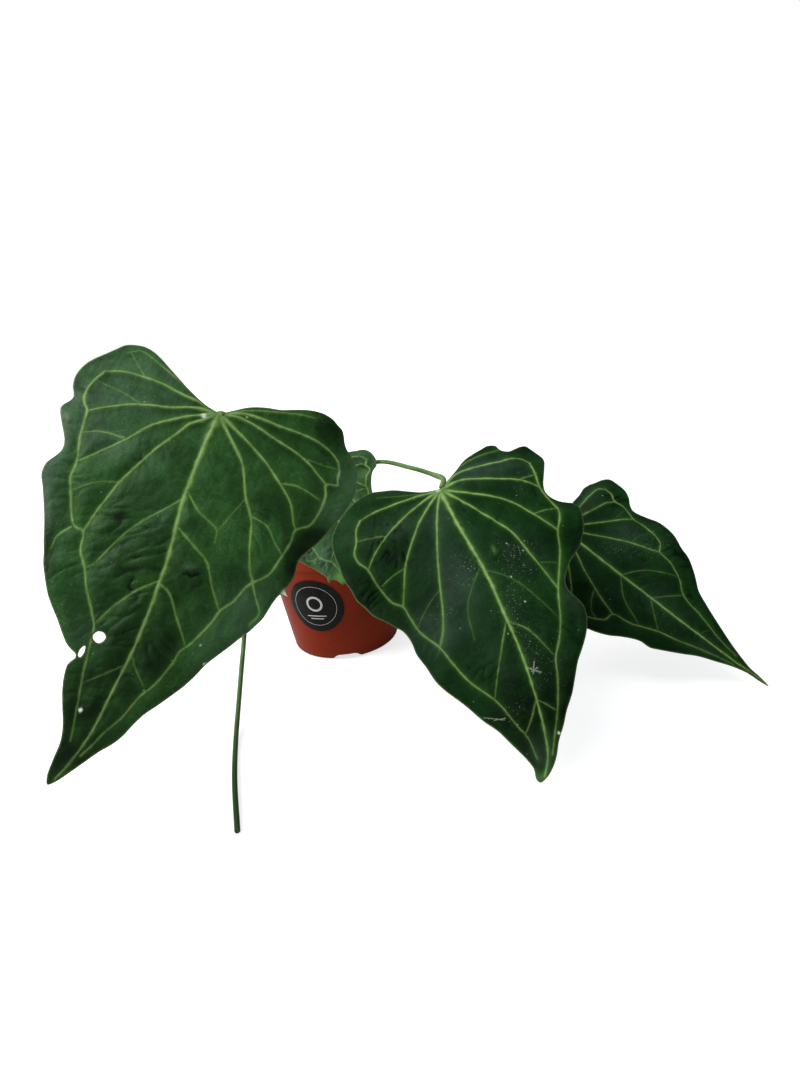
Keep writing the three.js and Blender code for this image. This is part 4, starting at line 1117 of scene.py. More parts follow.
def underside_material(blade, settings):
    """Lower side of a blade: paler and duller, with raised veins."""
    tone = settings.underside
    look, n, shader = new_material(blade["node"] + " underside", {"IOR": 1.4})
    where = n.add("UVMap", uv_map="leaf_plane").outputs[0]
    net = use(n, net_effect(), Coordinates=where, Wide_Cells=150.0, Small_Cells=560.0)
    grain = grained(n, where, 700.0)
    ripe = n.mix(n.times(net["Wide"], 0.4), mottled(n, where, tone, 30.0, 0.8, 1.2), scaled(tone, 1.6))
    ripe = n.mix(n.times(net["Small"], 0.25), ripe, scaled(tone, 0.7))
    ripe = n.mix(n.value("glow"), ripe, scaled(tone, 1.35))
    ripe = n.mix(n.value("vein"), ripe, (0.25, 0.38, 0.14))
    height = n.plus(n.times(grain, 0.4), n.times(net["Wide"], 0.8))
    height = n.plus(height, n.times(net["Small"], 0.35))
    finish(n, shader, ripe, n.plus(0.52, n.times(grain, 0.16)), height, 0.00025, 0.8)
    return look


def rim_material(settings):
    """The cut-thin edge of a blade, pale and a little dry."""
    look, n, shader = new_material("blade rim", {"IOR": 1.4})
    where = space(n)
    grain = grained(n, where, 1500.0)
    ground = mottled(n, where, settings.rim, 90.0, 0.45, 1.5)
    finish(n, shader, ground, n.plus(0.45, n.times(grain, 0.2)), grain, 0.0001, 0.6)
    return look


def stalk_material(settings):
    """Skin of the stalks: long faint streaks, paler at the joint, brownish at the foot, the cut one darker
    towards its end.
    """
    look, n, shader = new_material("stalk skin", {"Specular IOR Level": 0.2, "Coat Roughness": 0.3})
    where = n.add("UVMap", uv_map="stalk_plane").outputs[0]
    tone = settings.stalk
    foot = n.value("foot")
    streaks = n.noise(n.stretch(where, (1.0, 0.05, 1.0)), 1500.0, 3.0, 0.6)
    ground = mottled(n, where, tone, 60.0, 0.7, 1.3)
    ripe = n.mix(n.step(streaks, 0.4, 0.7, 0.0, 0.4), ground, scaled(tone, 1.7))
    ripe = n.mix(n.times(speckled(n, where, 900.0, 0.3, 0.16), 0.3), ripe, scaled(tone, 2.0))
    # darker towards the end of the cut stalk
    ripe = n.mix(n.value("age"), ripe, settings.near_cut_end)
    ripe = n.mix(n.value("joint"), ripe, settings.joint)
    ripe = n.mix(n.times(foot, 0.8), ripe, settings.foot)
    n.feed(shader.inputs["Coat Weight"], n.times(n.math("SUBTRACT", 1.0, foot), 0.05))
    grain = grained(n, where, 1300.0)
    height = n.plus(n.times(streaks, 0.7), n.times(grain, 0.4))
    finish(n, shader, ripe, n.plus(0.30, n.times(grain, 0.22)), height, 0.00015, 0.6)
    return look


def fibre_material(name, tone, per_metre, along=(1.0, 1.0, 1.0), depth=0.0005, rough=0.75):
    """A dry, fibrous skin with painted shade in the low places of its grain: for sheaths, roots, bark and
    the mix between the chips.
    """
    look, n, shader = new_material(name, {"IOR": 1.38})
    where = n.stretch(space(n), along)
    grain = grained(n, where, per_metre)
    specks = speckled(n, where, per_metre * 1.4, 0.35, 0.2)
    ground = mottled(n, where, tone, per_metre * 0.4, 0.45, 1.55)
    ripe = n.mix(n.times(specks, 0.35), ground, scaled(tone, 2.2))
    # painted shade: darker where the grain, which is also the bump's height, is low
    ripe = n.mix(n.step(grain, 0.34, 0.5, 0.7, 0.0), ripe, scaled(tone, 0.3))
    finish(n, shader, ripe, n.plus(rough, n.times(grain, 0.2)), grain, depth, 0.9)
    return look


def plastic_material(settings):
    """Satin moulded plastic with a faint orange-peel grain, rub marks, a dusty foot and painted light on its
    upper part.
    """
    tone = settings.plastic
    look, n, shader = new_material("terracotta plastic", {"Specular IOR Level": 0.12})
    where = space(n)
    height = n.add("SeparateXYZ", {0: where}).outputs[2]
    wear = use(n, wear_effect(), Coordinates=where, Amount=0.5)["Mask"]
    foot = n.times(n.step(height, 0.0, 0.010, 1.0, 0.0), n.noise(where, 160.0, 4.0, 0.7))
    ripe = n.mix(n.times(wear, 0.35), mottled(n, where, tone, 14.0, 0.9, 1.1), scaled(tone, 1.9))
    # painted light: the wall turns lighter from 60 to 80 mm up, and the collar and lip stay lighter
    ripe = n.mix(n.step(height, 0.060, 0.080, 0.0, 0.35), ripe, scaled(tone, 1.8))
    ripe = n.mix(n.times(foot, 0.35), ripe, (0.16, 0.09, 0.055))
    ripe = n.mix(n.times(speckled(n, where, 420.0, 0.22, 0.05), 0.45), ripe, (0.42, 0.22, 0.15))
    rough = n.plus(settings.roughness, n.times(wear, 0.25))
    rough = n.plus(rough, n.times(foot, 0.3))
    finish(n, shader, ripe, rough, grained(n, where, 900.0), 0.00005, 0.5)
    return look


def band(n, value, middle, half):
    """1 where a value is within `half` of `middle`, with a thin soft edge."""
    off = n.math("ABSOLUTE", n.math("SUBTRACT", value, middle))
    return n.step(off, half * 0.8, half * 1.2, 1.0, 0.0)


def label_material(settings):
    """Black gloss film with a thin pale ring, a plain open circle, two short rules and smudges."""
    look, n, shader = new_material("label film", {"Specular IOR Level": 0.2})
    where = n.add("UVMap", uv_map="label_plane").outputs[0]
    axis = n.add("SeparateXYZ", {0: where})
    across, up = axis.outputs[0], axis.outputs[1]
    radius = n.length(where)
    outer = n.times(band(n, radius, settings.ring_radius, 0.00019), 0.8)
    raised = n.add("VectorMath", {0: where, 1: (0, -0.002, 0)}).outputs[0]
    circle = n.length(raised)
    marks = n.math("MAXIMUM", outer, band(n, circle, 0.0058, 0.00085))
    for level, half_width in ((-0.0088, 0.0078), (-0.0112, 0.0052)):
        ends = n.step(n.math("ABSOLUTE", across), half_width, half_width + 0.0003, 1.0, 0.0)
        marks = n.math("MAXIMUM", marks, n.times(band(n, up, level, 0.0004), ends))
    wear = use(n, wear_effect(), Coordinates=space(n), Amount=1.0)["Mask"]
    smudge = n.times(n.step(n.noise(where, 120.0, 6.0, 0.75), 0.52, 0.78), n.step(up, -0.006, 0.012))
    ripe = n.mix(n.times(marks, 0.9), settings.film, settings.ink)
    ripe = n.mix(n.times(smudge, 0.12), ripe, (0.30, 0.33, 0.30))
    ripe = n.mix(n.times(wear, 0.10), ripe, (0.30, 0.30, 0.28))
    rough = n.plus(n.plus(0.24, n.times(smudge, 0.4)), n.times(marks, 0.12))
    height = n.plus(n.times(grained(n, where, 250.0), 0.5), n.times(marks, 0.25))
    finish(n, shader, ripe, rough, height, 0.00006, 0.4)
    return look


def floor_material(settings):
    """Plain pale floor with the faintest grain, which fades into the white of the room."""
    look, n, shader = new_material("pale floor", {"Specular IOR Level": 0.0, "Roughness": 0.8})
    where = space(n)
    n.feed(shader.inputs["Base Color"], mottled(n, where, settings.floor, 3.0, 0.99, 1.01))
    away = n.length(where)
    white = n.step(away, 0.45, 1.6, settings.paper, 1.3)
    seen = n.add("LightPath").outputs["Is Camera Ray"]
    n.feed(shader.inputs["Emission Color"], (1.0, 1.0, 1.0))
    n.feed(shader.inputs["Emission Strength"], n.times(white, seen))
    return look


# Blades
def blade_axes(blade):
    """Notch, across, along, up and length of a blade."""
    notch = np.array(blade["notch"], float)
    along = np.array(blade["tip"], float) - notch
    reach = np.linalg.norm(along)
    along /= reach
    up = np.array(blade["faces"], float)
    up -= along * up.dot(along)
    up /= np.linalg.norm(up)
    return notch, np.cross(up, along), along, up, reach


def blade_height(blade, reach, plane):
    """Height of the blade's smooth form above its plane."""
    u, v = plane[:, 0], plane[:, 1]
    q = v / reach
    form = 4 * blade["bow"] * np.where(q < 0, q, q * (1 - q))
    side = (u / blade["half"]) ** 2
    form = form - blade["droop"] * side
    form = form + blade["ripple"] * side * np.sin(2 * np.pi * (v - blade["start"]) / blade["pitch"])
    for bend_u, bend_v, spread, rise in blade["bends"]:
        form = form + rise * np.exp(-((u - bend_u) ** 2 + (v - bend_v) ** 2) / spread ** 2)
    return form


def vein_lines(blade):
    """Each vein of a blade as (smooth line, half width at the start, at the end, strength, ridge)."""
    rows = []
    scale = blade["vein_scale"]
    for kind, (start, end, strength, ridge) in VEIN_KINDS.items():
        first = blade["midrib"][0][:1] if kind == "primary" else []
        for points in blade[kind]:
            rows.append((smooth_line([*first, *points], VEIN_STEP), start * scale, end * scale,
                         strength ** blade["vein_fall"], ridge * scale))
    return rows


def blade_loops(blade):
    """The blade's outline and then its holes, all as closed lines."""
    holes = [smooth_line(hole, HOLE_STEP, closed=True) for hole in blade.get("holes", [])]
    return [smooth_line(blade["outline"], EDGE_STEP, closed=True), *holes]


def rows_along(line, start, end):
    """Rows of points on a vein and on both sides of it."""
    fine = smooth_line(line, ROW_STEP)
    tangent = np.gradient(fine, axis=0)
    normal = np.stack([-tangent[:, 1], tangent[:, 0]], 1)
    normal /= np.maximum(np.linalg.norm(normal, axis=1), 1e-9)[:, None]
    half = np.linspace(start, end, len(fine))[:, None]
    return [fine + normal * half * place for place in ROW_PLACES]


def jittered_grid(low, high, rng):
    """A grid of triangles over a rectangle, with every point moved a little."""
    across = np.arange(low[0], high[0], GRID_STEP)
    along = np.arange(low[1], high[1], GRID_ROW)
    grid = np.stack(np.meshgrid(across, along), -1)
    grid[1::2, :, 0] += GRID_STEP / 2
    grid = grid.reshape(-1, 2)
    return grid + rng.uniform(-GRID_JITTER, GRID_JITTER, grid.shape)


def inner_points(blade, loops, veins):
    """Points inside the blade: dense rows along the veins and round scars, a jittered grid between."""
    rng = np.random.default_rng(blade["seed"])
    rows = [row for line, start, end, _, _ in veins for row in rows_along(line, start, end)]
    for u, v, size in blade["scars"]:
        rows.append(np.array([u, v]) + rng.normal(size=(SCAR_POINTS, 2)) * size * 0.8)
    for a, b in blade.get("scratches", []):
        line = np.linspace(a, b, SCRATCH_POINTS)
        rows.extend([line, line + ROW_GAP, line - ROW_GAP])
    grid = jittered_grid(loops[0].min(0), loops[0].max(0), rng)
    dense = first_in_cell(np.vstack(rows), ROW_GAP)
    between = first_in_cell(np.vstack([dense, grid]), POINT_GAP)[len(first_in_cell(dense, POINT_GAP)):]
    points = np.vstack([dense, between])
    points = points[inside_blade(points, loops)]
    return points[distance_to_loops(points, loops) > EDGE_CLEARANCE]


def sheet_triangles(points, loops):
    """Triangles between the loops and the points. The loops' own points come first."""
    edges, start = [], 0
    for loop in loops:
        n = len(loop)
        edges += [(start + i, start + (i + 1) % n) for i in range(n)]
        start += n
    flat = np.vstack([*loops, points])
    vertices, _, faces, _, _, _ = delaunay_2d_cdt([Vector(p) for p in flat], edges, [], 0, 1e-6)
    placed = np.array([tuple(v) for v in vertices])
    faces = np.array(faces)
    faces = faces[inside_blade(placed[faces].mean(1), loops)]
    a, b, c = (placed[faces[:, k]] for k in range(3))
    turned = (b[:, 0] - a[:, 0]) * (c[:, 1] - a[:, 1]) - (b[:, 1] - a[:, 1]) * (c[:, 0] - a[:, 0]) < 0
    faces[turned] = faces[turned][:, ::-1]
    return placed, faces


def soft_spots(plane, spots):
    """Soft oval spots of (across, along, half sizes, strength), at most 1 in all."""
    total = np.zeros(len(plane))
    for u, v, half_u, half_v, strength in spots:
        away = ((plane[:, 0] - u) / half_u) ** 2 + ((plane[:, 1] - v) / half_v) ** 2
        total += strength * np.exp(-away)
    return np.minimum(total, 1.0)


def soft_disc(plane, u, v, size, power):
    """1 at a place, falling off at `size` from it, the more sharply the higher the power."""
    return np.exp(-(np.hypot(plane[:, 0] - u, plane[:, 1] - v) / size) ** power)


def plane_noise(plane, across, along, shift, level):
    """Noise for each point, with its own scale across and along the blade."""
    return np.array([noise.noise((u * across + shift, v * along, level)) for u, v in plane])


def vein_values(blade, plane, veins):
    """Colour, glow, ridge, valley and shadow side of the veins, the way to the nearest main one, and
    how much each point belongs to the lobes."""
    count = len(plane)
    vein, glow, ridge, valley, shade = (np.zeros(count) for _ in range(5))
    nearest = np.full(count, FAR_FROM_VEINS)
    from_junction = np.hypot(*(plane - np.array(blade["midrib"][0][0], float)).T) / JUNCTION_REACH
    start_ramp = blade["soft_start"] + (1 - blade["soft_start"]) * ease(from_junction)
    vary = 0.84 + 0.5 * plane_noise(plane, 0.24, 0.24, 0.0, blade["seed"] + 20.0)
    vary *= 1 + 0.8 * np.exp(-from_junction ** 2)
    lobe = 1 - ease((plane[:, 1] - LOBE_END) / (QUILT_START - LOBE_END))
    for line, start, end, strength, height in veins:
        gap, place = distance_to_line(plane, line, reach=VEIN_REACH)
        half = (start + (end - start) * place) * vary
        fade = 1 - VEIN_FADE * place - END_FADE * ease((place - 0.8) / 0.2)
        vein = np.maximum(vein, strength * fade * start_ramp * np.exp(-0.9 * (gap / half) ** 2.2))
        glow = np.maximum(glow, strength * np.exp(-(gap / (GLOW_WIDTH + half)) ** 1.3))
        ridge = np.maximum(ridge, height * fade * np.exp(-(gap / half) ** 2))
        valley = np.maximum(valley, strength * np.exp(-(gap / VALLEY_WIDTH) ** 2))
        if strength > MAIN_STRENGTH:
            nearest = np.minimum(nearest, gap)
            below = np.abs(gap - SHADOW_DROP) / 1.7
            away, _ = distance_to_line(plane - (0.0, SHADOW_DROP), line, reach=6.0)
            shade = np.maximum(shade, lobe * strength * np.exp(-(away / 2.0) ** 2 - 0.3 * below ** 2))
    return vein, glow, ridge, valley, shade, nearest, lobe


def furrow_values(blade, plane, nearest):
    """Height and painted shade of the soft transverse furrows in the panels between the veins."""
    height, dark = np.zeros(len(plane)), np.zeros(len(plane))
    clear = ease((nearest + 0.3) / 2.2)
    for number, (u, v, half_u, half_v, strength, angle) in enumerate(blade["furrows"]):
        weight = soft_spots(plane, [(u, v, half_u, half_v, strength)]) * clear
        turn = math.radians(angle)
        along = (plane[:, 0] * math.cos(turn) + plane[:, 1] * math.sin(turn)) / FURROW_LENGTH
        over = (plane[:, 1] * math.cos(turn) - plane[:, 0] * math.sin(turn)) / FURROW_SPACING
        shift = 10.0 * number + blade["seed"]
        for i in np.flatnonzero(weight > 0.04):
            wave = noise.noise((along[i], over[i], shift))
            deep = ease((noise.noise((along[i] * 1.3, over[i] * 0.8, shift + 5)) + 0.25) / 0.5)
            valley = deep * max(0.0, 1 - abs(wave) / FURROW_HALF)
            line = deep * max(0.0, 1 - abs(wave) / CREASE_HALF)
            height[i] += FURROW_DEPTH * weight[i] * (0.9 * abs(wave) - 0.7 * valley)
            dark[i] = max(dark[i], min(1.0, CREASE_STRENGTH * weight[i]) * line)
    return height, dark


def blister_values(blade, plane):
    """Height of the blisters, and painted shade in the hooked fold of each."""
    height, dark = np.zeros(len(plane)), np.zeros(len(plane))
    for u, v, size, rise in blade.get("blisters", []):
        wide = ((plane[:, 0] - u) * 0.94 - (plane[:, 1] - v) * 0.35) / size
        down = ((plane[:, 0] - u) * 0.35 + (plane[:, 1] - v) * 0.94) / size
        hooked = down - 0.85 + 0.25 * wide ** 2 - 0.16 * np.cos(5 * wide)
        fold = np.exp(-(wide / 1.3) ** 4 - (hooked / 0.3) ** 2)
        height += rise * (np.exp(-wide ** 2 - (down / 0.7) ** 2) - 0.8 * fold)
        dark = np.maximum(dark, min(1.0, rise) * fold)
    return height, dark


def mark_values(blade, plane):
    """How pale the scars, knots and scratches make each point."""
    pale = np.zeros(len(plane))
    spots = [(u, v, size, min(1.0, size / FULL_SCAR)) for u, v, size in blade["scars"]]
    spots += [(u, v, size, KNOT_PALENESS) for u, v, size, _ in blade.get("knots", [])]
    for u, v, size, strength in spots:
        pale = np.maximum(pale, strength * soft_disc(plane, u, v, size, 4))
    for a, b in blade.get("scratches", []):
        gap, _ = distance_to_line(plane, np.array([a, b], float))
        pale = np.maximum(pale, SCRATCH_PALENESS * np.exp(-(gap / SCRATCH_WIDTH) ** 2))
    return pale


def surface_values(blade, plane, loops, veins):
    """Masks and relief at each point of a blade."""
    vein, glow, ridge, valley, shade, nearest, lobe = vein_values(blade, plane, veins)
    for u, v, size, height in blade.get("knots", []):
        ridge = np.maximum(ridge, height * soft_disc(plane, u, v, size, 2))
        vein = np.maximum(vein, soft_disc(plane, u, v, size, 4))
    furrows, crease = furrow_values(blade, plane, nearest)
    blisters, folds = blister_values(blade, plane)
    crease = np.maximum(crease, folds)
    shift = blade["seed"] * 7.3
    rough = plane_noise(plane, 0.11, 0.11, shift, 0.0)
    fine = plane_noise(plane, 0.42, 0.30, shift, 5.0)
    bulge = BULGE_HEIGHT * (1 - np.exp(-(nearest / BULGE_REACH) ** 2)) - VALLEY_DEPTH * valley
    relief = (1 - 1.5 * lobe) * bulge + furrows + blisters
    relief += ROUGH_HEIGHT * rough + FINE_HEIGHT * fine
    # painted shade: the dark spots darken the green and dim the veins
    dark = soft_spots(plane, blade.get("dark", [])) * (0.92 + 0.5 * rough)
    edge_gap = distance_to_loops(plane, loops)
    inner = ease(edge_gap / FLAT_MARGIN)
    return {
        "vein": vein * ease(edge_gap / PLAIN_MARGIN) * (1 - 0.3 * dark),
        # painted shade in the creases also dims the glow
        "glow": glow * (1 - 0.6 * crease),
        "scar": mark_values(blade, plane),
        "edge": np.exp(-(edge_gap / EDGE_LINE) ** 2),
        "dust": soft_spots(plane, blade["dusty"]),
        "bloom": soft_spots(plane, blade["bloom"]),
        "bright": soft_spots(plane, blade["bright"]),
        # painted shade: creases, blister folds, the shadow side of the main veins and the dark spots
        "shade": 1 - (1 - crease ** 0.8) * (1 - 0.5 * shade) * (1 - np.clip(dark, 0, 0.95)),
        "relief": relief * inner,
        "ridge": ridge * inner,
    }


def solid_sides(loops):
    """For each loop 1 where the blade lies to the left of its course, and -1 where to the right."""
    sides = []
    for number, loop in enumerate(loops):
        x, y = loop.T
        area = np.sum(x * np.roll(y, -1) - np.roll(x, -1) * y)
        sides.append(np.sign(area) * (1 if number == 0 else -1))
    return sides


def drawn_in(plane, loops, sides):
    """The plane's points, with those of the loops moved a little into the blade."""
    inset, start = plane.copy(), 0
    for loop, side in zip(loops, sides):
        way = np.roll(loop, -1, axis=0) - np.roll(loop, 1, axis=0)
        way /= np.maximum(np.linalg.norm(way, axis=1), 1e-9)[:, None]
        inset[start:start + len(loop)] += RIM_INSET * np.stack([-way[:, 1], way[:, 0]], 1) * side
        start += len(loop)
    return inset


def rim_faces(loops, sides, count):
    """Faces round each loop, from the upper side over the middle of the rim to the underside."""
    faces, start = [], 0
    for loop, side in zip(loops, sides):
        for i in range(len(loop)):
            a, b = start + i, start + (i + 1) % len(loop)
            rim_a, rim_b = 2 * count + a, 2 * count + b
            strips = [(a, rim_a, rim_b, b), (rim_a, count + a, count + b, rim_b)]
            faces += strips if side > 0 else [strip[::-1] for strip in strips]
        start += len(loop)
    return faces


def grow_blade(blade, settings, rim_look):
    """One blade: upper side, underside and rim as one closed mesh with its own masks."""
    loops, veins = blade_loops(blade), vein_lines(blade)
    plane, triangles = sheet_triangles(inner_points(blade, loops, veins), loops)
    values = surface_values(blade, plane, loops, veins)
    notch, across, along, up, reach = blade_axes(blade)
    form = blade_height(blade, reach, plane)
    count, border = len(plane), sum(len(loop) for loop in loops)
    sides = solid_sides(loops)
    inset = drawn_in(plane, loops, sides)

    def place(where, height):
        return notch + where[:, :1] * across + where[:, 1:2] * along + height[:, None] * up

    lift = settings.relief
    top = place(inset, form + lift * (values["relief"] + values["ridge"]))
    under_height = form - BLADE_THICKNESS + lift * (values["relief"] - UNDER_RIDGE * values["ridge"])
    under_height[:border] = form[:border] - BLADE_THICKNESS + RIM_THINNING
    under = place(inset, under_height)
    middle = place(plane[:border], form[:border] - BLADE_THICKNESS / 2)

    upper = [tuple(t) for t in triangles]
    lower = [tuple(count + i for i in t[::-1]) for t in triangles]
    rim = rim_faces(loops, sides, count)
    piece = new_piece(
        blade["node"] + "_veined", np.vstack([top, under, middle]), upper + lower + rim,
        [upper_side_material(blade, settings), underside_material(blade, settings), rim_look],
        blade["slot"], [0] * len(upper) + [1] * len(lower) + [2] * len(rim))
    order = np.concatenate([np.arange(count), np.arange(count), np.arange(border)])
    for name in MASKS:
        add_values(piece, name, values[name][order])
    add_uv(piece, "leaf_plane", plane[order] + (blade["seed"] * PLANE_SHIFT, 0))
    hold_in_solid_bounds(piece)
    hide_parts(blade["node"])


# Stalks and stem
def stalk_radius(name, foot, shaft, joint):
    """Radius along a stalk, as its solid has it, with a faint unevenness."""
    def radius(s, a):
        base = shaft + (foot - shaft) * (1 - ease(s / FOOT_END))
        if name == CUT_STALK:
            base += (joint - shaft) * ease((s - 0.3) / 0.6)
        else:
            swell = ease((s - JOINT_START) / 0.07) * (1 - 0.15 * ease((s - 0.96) / 0.04))
            base += (joint - shaft) * swell
        return base * (1 - 0.03 * (1 + math.cos(3 * a + 9 * s)) * 0.5)
    return radius


def grow_stalk(name, settings, look, cut_look):
    """One stalk as a fine tube on the same line as its solid."""
    points, foot, shaft, joint = STALKS[name]
    is_cut = name == CUT_STALK
    if not is_cut:
        before, end = np.array(points[-2:], float)
        points = [*points[:-1], end + JOINT_OVERLAP * (end - before) / np.linalg.norm(end - before)]
    radius = stalk_radius(name, foot, shaft, joint)
    vertices, faces, places = tube(points, radius, STALK_SIDES, STALK_STEPS)
    index = [0] * len(faces)
    if is_cut:
        index[-STALK_SIDES:] = [1] * STALK_SIDES
    piece = new_piece(name + "_skin", vertices, faces, [look, cut_look], "stalk_green", index)
    share = np.array(places)
    add_values(piece, "joint", 0 * share if is_cut else 0.9 * ease((share - 0.84) / 0.09))
    add_values(piece, "foot", 1 - ease(share / 0.10))
    # the cut stalk turns darker over its last half
    add_values(piece, "age", ease((share - 0.5) / 0.38) if is_cut else 0 * share)
    run = sum(np.linalg.norm(np.subtract(b, a)) for a, b in zip(points, points[1:]))
    turn = np.arange(len(vertices)) % STALK_SIDES / STALK_SIDES
    wrapped = np.minimum(turn, 1 - turn) * 4 * math.pi * shaft
    shift = 60.0 * list(STALKS).index(name)
    add_uv(piece, "stalk_plane", np.stack([wrapped + shift, share * run], 1))
    if is_cut:
        piece.data.set_sharp_from_angle(angle=CUT_SHARP)
    hold_in_solid_bounds(piece)
    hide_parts(name)


def stem_body():
    """The short ringed stem, as vertices and faces."""
    profile = smooth_line(STEM_PROFILE, 0.8)
    profile[0, 0] = profile[-1, 0] = 0.0
    ringed = [(max(r, 0.0) * (1 - 0.05 * (math.sin(z * 1.4) > 0.75)), z) for r, z in profile]
    vertices, faces = lathe(ringed, 48)
    return [np.array(p) * (1 + 0.03 * noise.noise(Vector(p) * 0.35), 1, 1) for p in vertices], faces


def sheath(angle, lean, height, width):
    """One papery sheath with ribs, leaning out from the stem, as vertices and faces."""
    profile = smooth_line([*SHEATH_PROFILE, (0.45, height - 4), (0.0, height)], 0.9)
    vertices, faces = lathe([(max(0.0, r) * width, z) for r, z in profile[:-1]] + [(0, height)], 28)
    points = np.array(vertices)
    ribs = 1 + 0.05 * np.cos(9 * np.arctan2(points[:, 1], points[:, 0]))
    points[:, 0] *= SHEATH_FLATNESS * ribs
    points[:, 1] *= ribs
    points = points @ turning(math.radians(lean), 1).T + SHEATH_FOOT
    return points @ turning(math.radians(angle), 2).T, faces


def aerial_root(points, thickness):
    """One knobbly root that thins towards its end, as vertices and faces."""
    def radius(s, a):
        return thickness * (1 - 0.25 * s) * (1 + 0.10 * math.sin(31 * s + 2 * a) * math.sin(17 * s))
    return tube(points, radius, 16, 44)[:2]


# Pot, label and potting mix
def side_radius(z):
    return SIDE_RADIUS + (z - FOOT_ROUND) * math.tan(TAPER)


def round_axis(bar):
    """A bar and its copies, one for each channel."""
    vertices, faces = bar
    turns = [CHANNEL_FIRST + i * 2 * math.pi / CHANNEL_COUNT for i in range(CHANNEL_COUNT)]
    return [(np.array(vertices) @ turning(turn, 2).T, faces) for turn in turns]


def channel_cutters(grow):
    """The drainage channels under the foot, as closed bars that are larger by `grow`."""
    high = CHANNEL_HEIGHT + grow
    foot, roof = CHANNEL_BOTTOM_WIDTH / 2 + grow, CHANNEL_TOP_WIDTH / 2 + grow

    def half_at(z):
        return foot + (roof - foot) * (z + 1) / (high + 1)

    right = [(foot, -1), (half_at(high - 1.1), high - 1.1), (roof - 0.6, high - 0.3), (roof - 1.5, high)]
    section = right + [(-y, z) for y, z in right[::-1]]
    return round_axis(prism(section, lambda x, y, z: (x, y, z), CHANNEL_INNER - grow, CHANNEL_OUTER))


def drain_cutters():
    """Round holes through the floor, one over each channel."""
    section = [(x, y) for x, y, _ in ring(DRAIN_RADIUS, 0, DRAIN_SIDES)]
    return round_axis(prism(section, lambda z, x, y: (x + DRAIN_FROM_AXIS, y, z), 2.0, 10.0))


def wall_levels(low, high):
    return np.linspace(low, high, max(2, round((high - low) / WALL_STEP) + 1))


def pot_outer_profile():
    """Outside of the pot from the middle of its foot to the lip."""
    collar = side_radius(COLLAR_BOTTOM) + COLLAR_STEP
    lip = collar + (POT_HEIGHT - COLLAR_BOTTOM) * math.tan(TAPER)
    rows = [(0, 0), (CHANNEL_INNER, 0), (FOOT_RADIUS, 0)]
    for a in np.linspace(0.1, 1, 7) * math.pi / 2:
        rows.append((FOOT_RADIUS + FOOT_ROUND * math.sin(a), FOOT_ROUND * (1 - math.cos(a))))
    rows += [(side_radius(z), z) for z in wall_levels(8, COLLAR_BOTTOM - 1.6)]
    rows += [(side_radius(COLLAR_BOTTOM - 1.0) + 0.1, COLLAR_BOTTOM - 1.0),
             (collar - 0.5, COLLAR_BOTTOM - EDGE_ROUND), (collar, COLLAR_BOTTOM + EDGE_ROUND)]
    rows += [(collar + (z - COLLAR_BOTTOM) * math.tan(TAPER), z)
             for z in wall_levels(COLLAR_BOTTOM + 1.5, POT_HEIGHT - LIP_ROUND)]
    rows += [(lip - EDGE_ROUND, POT_HEIGHT - EDGE_ROUND), (lip - LIP_ROUND, POT_HEIGHT)]
    return rows, lip


def mould_pot(settings):
    """The pot: outer wall with collar and lip, hollow inside, channels and drain holes."""
    rows, lip = pot_outer_profile()
    inner_lip = lip - WALL - COLLAR_STEP
    mouth = POT_HEIGHT - 1.4
    rows += [(inner_lip + 0.4, POT_HEIGHT), (inner_lip, POT_HEIGHT - 0.4),
             (side_radius(mouth) - WALL, mouth)]
    rows += [(side_radius(z) - WALL, z) for z in wall_levels(6, mouth - 2)[::-1]]
    rows += [(FOOT_RADIUS - 1, FLOOR), (CHANNEL_INNER, FLOOR), (0, FLOOR)]
    piece = new_piece("pot_moulded", *lathe(rows, POT_SIDES), [plastic_material(settings)], "pot_plastic")
    add_channel_roofs(piece)
    carve(piece, [*channel_cutters(0.0), *drain_cutters()])
    smooth(piece.data)
    piece.data.set_sharp_from_angle(angle=POT_SHARP)
    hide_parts("pot")


def add_channel_roofs(piece):
    """Joins the skins over the channels to the floor, trimmed to the inside of the wall."""
    room = [(0, 0.4), (FOOT_RADIUS, 0.4), (SIDE_RADIUS - 0.5, FOOT_ROUND),
            (side_radius(CHANNEL_ROOM) - 0.5, CHANNEL_ROOM), (0, CHANNEL_ROOM)]
    core = shaping_tool("channel_room", *lathe(room, POT_SIDES))
    bars = enumerate(channel_cutters(CHANNEL_SKIN))
    roofs = [shaping_tool(f"channel_roof_{number}", *bar) for number, bar in bars]
    for roof in roofs:
        combine(roof, "INTERSECT", core)
        combine(piece, "UNION", roof)
    keep_result(piece, [core, *roofs])


def label_place(radius, turn, out):
    """A place on the label, given on the flat film, bent on the cone of the wall."""
    z = LABEL_Z + radius * math.sin(turn) * math.cos(TAPER)
    r = side_radius(z) + (LABEL_GAP + out) / math.cos(TAPER)
    angle = LABEL_ANGLE + radius * math.cos(turn) / r
    return r * math.cos(angle), r * math.sin(angle), z


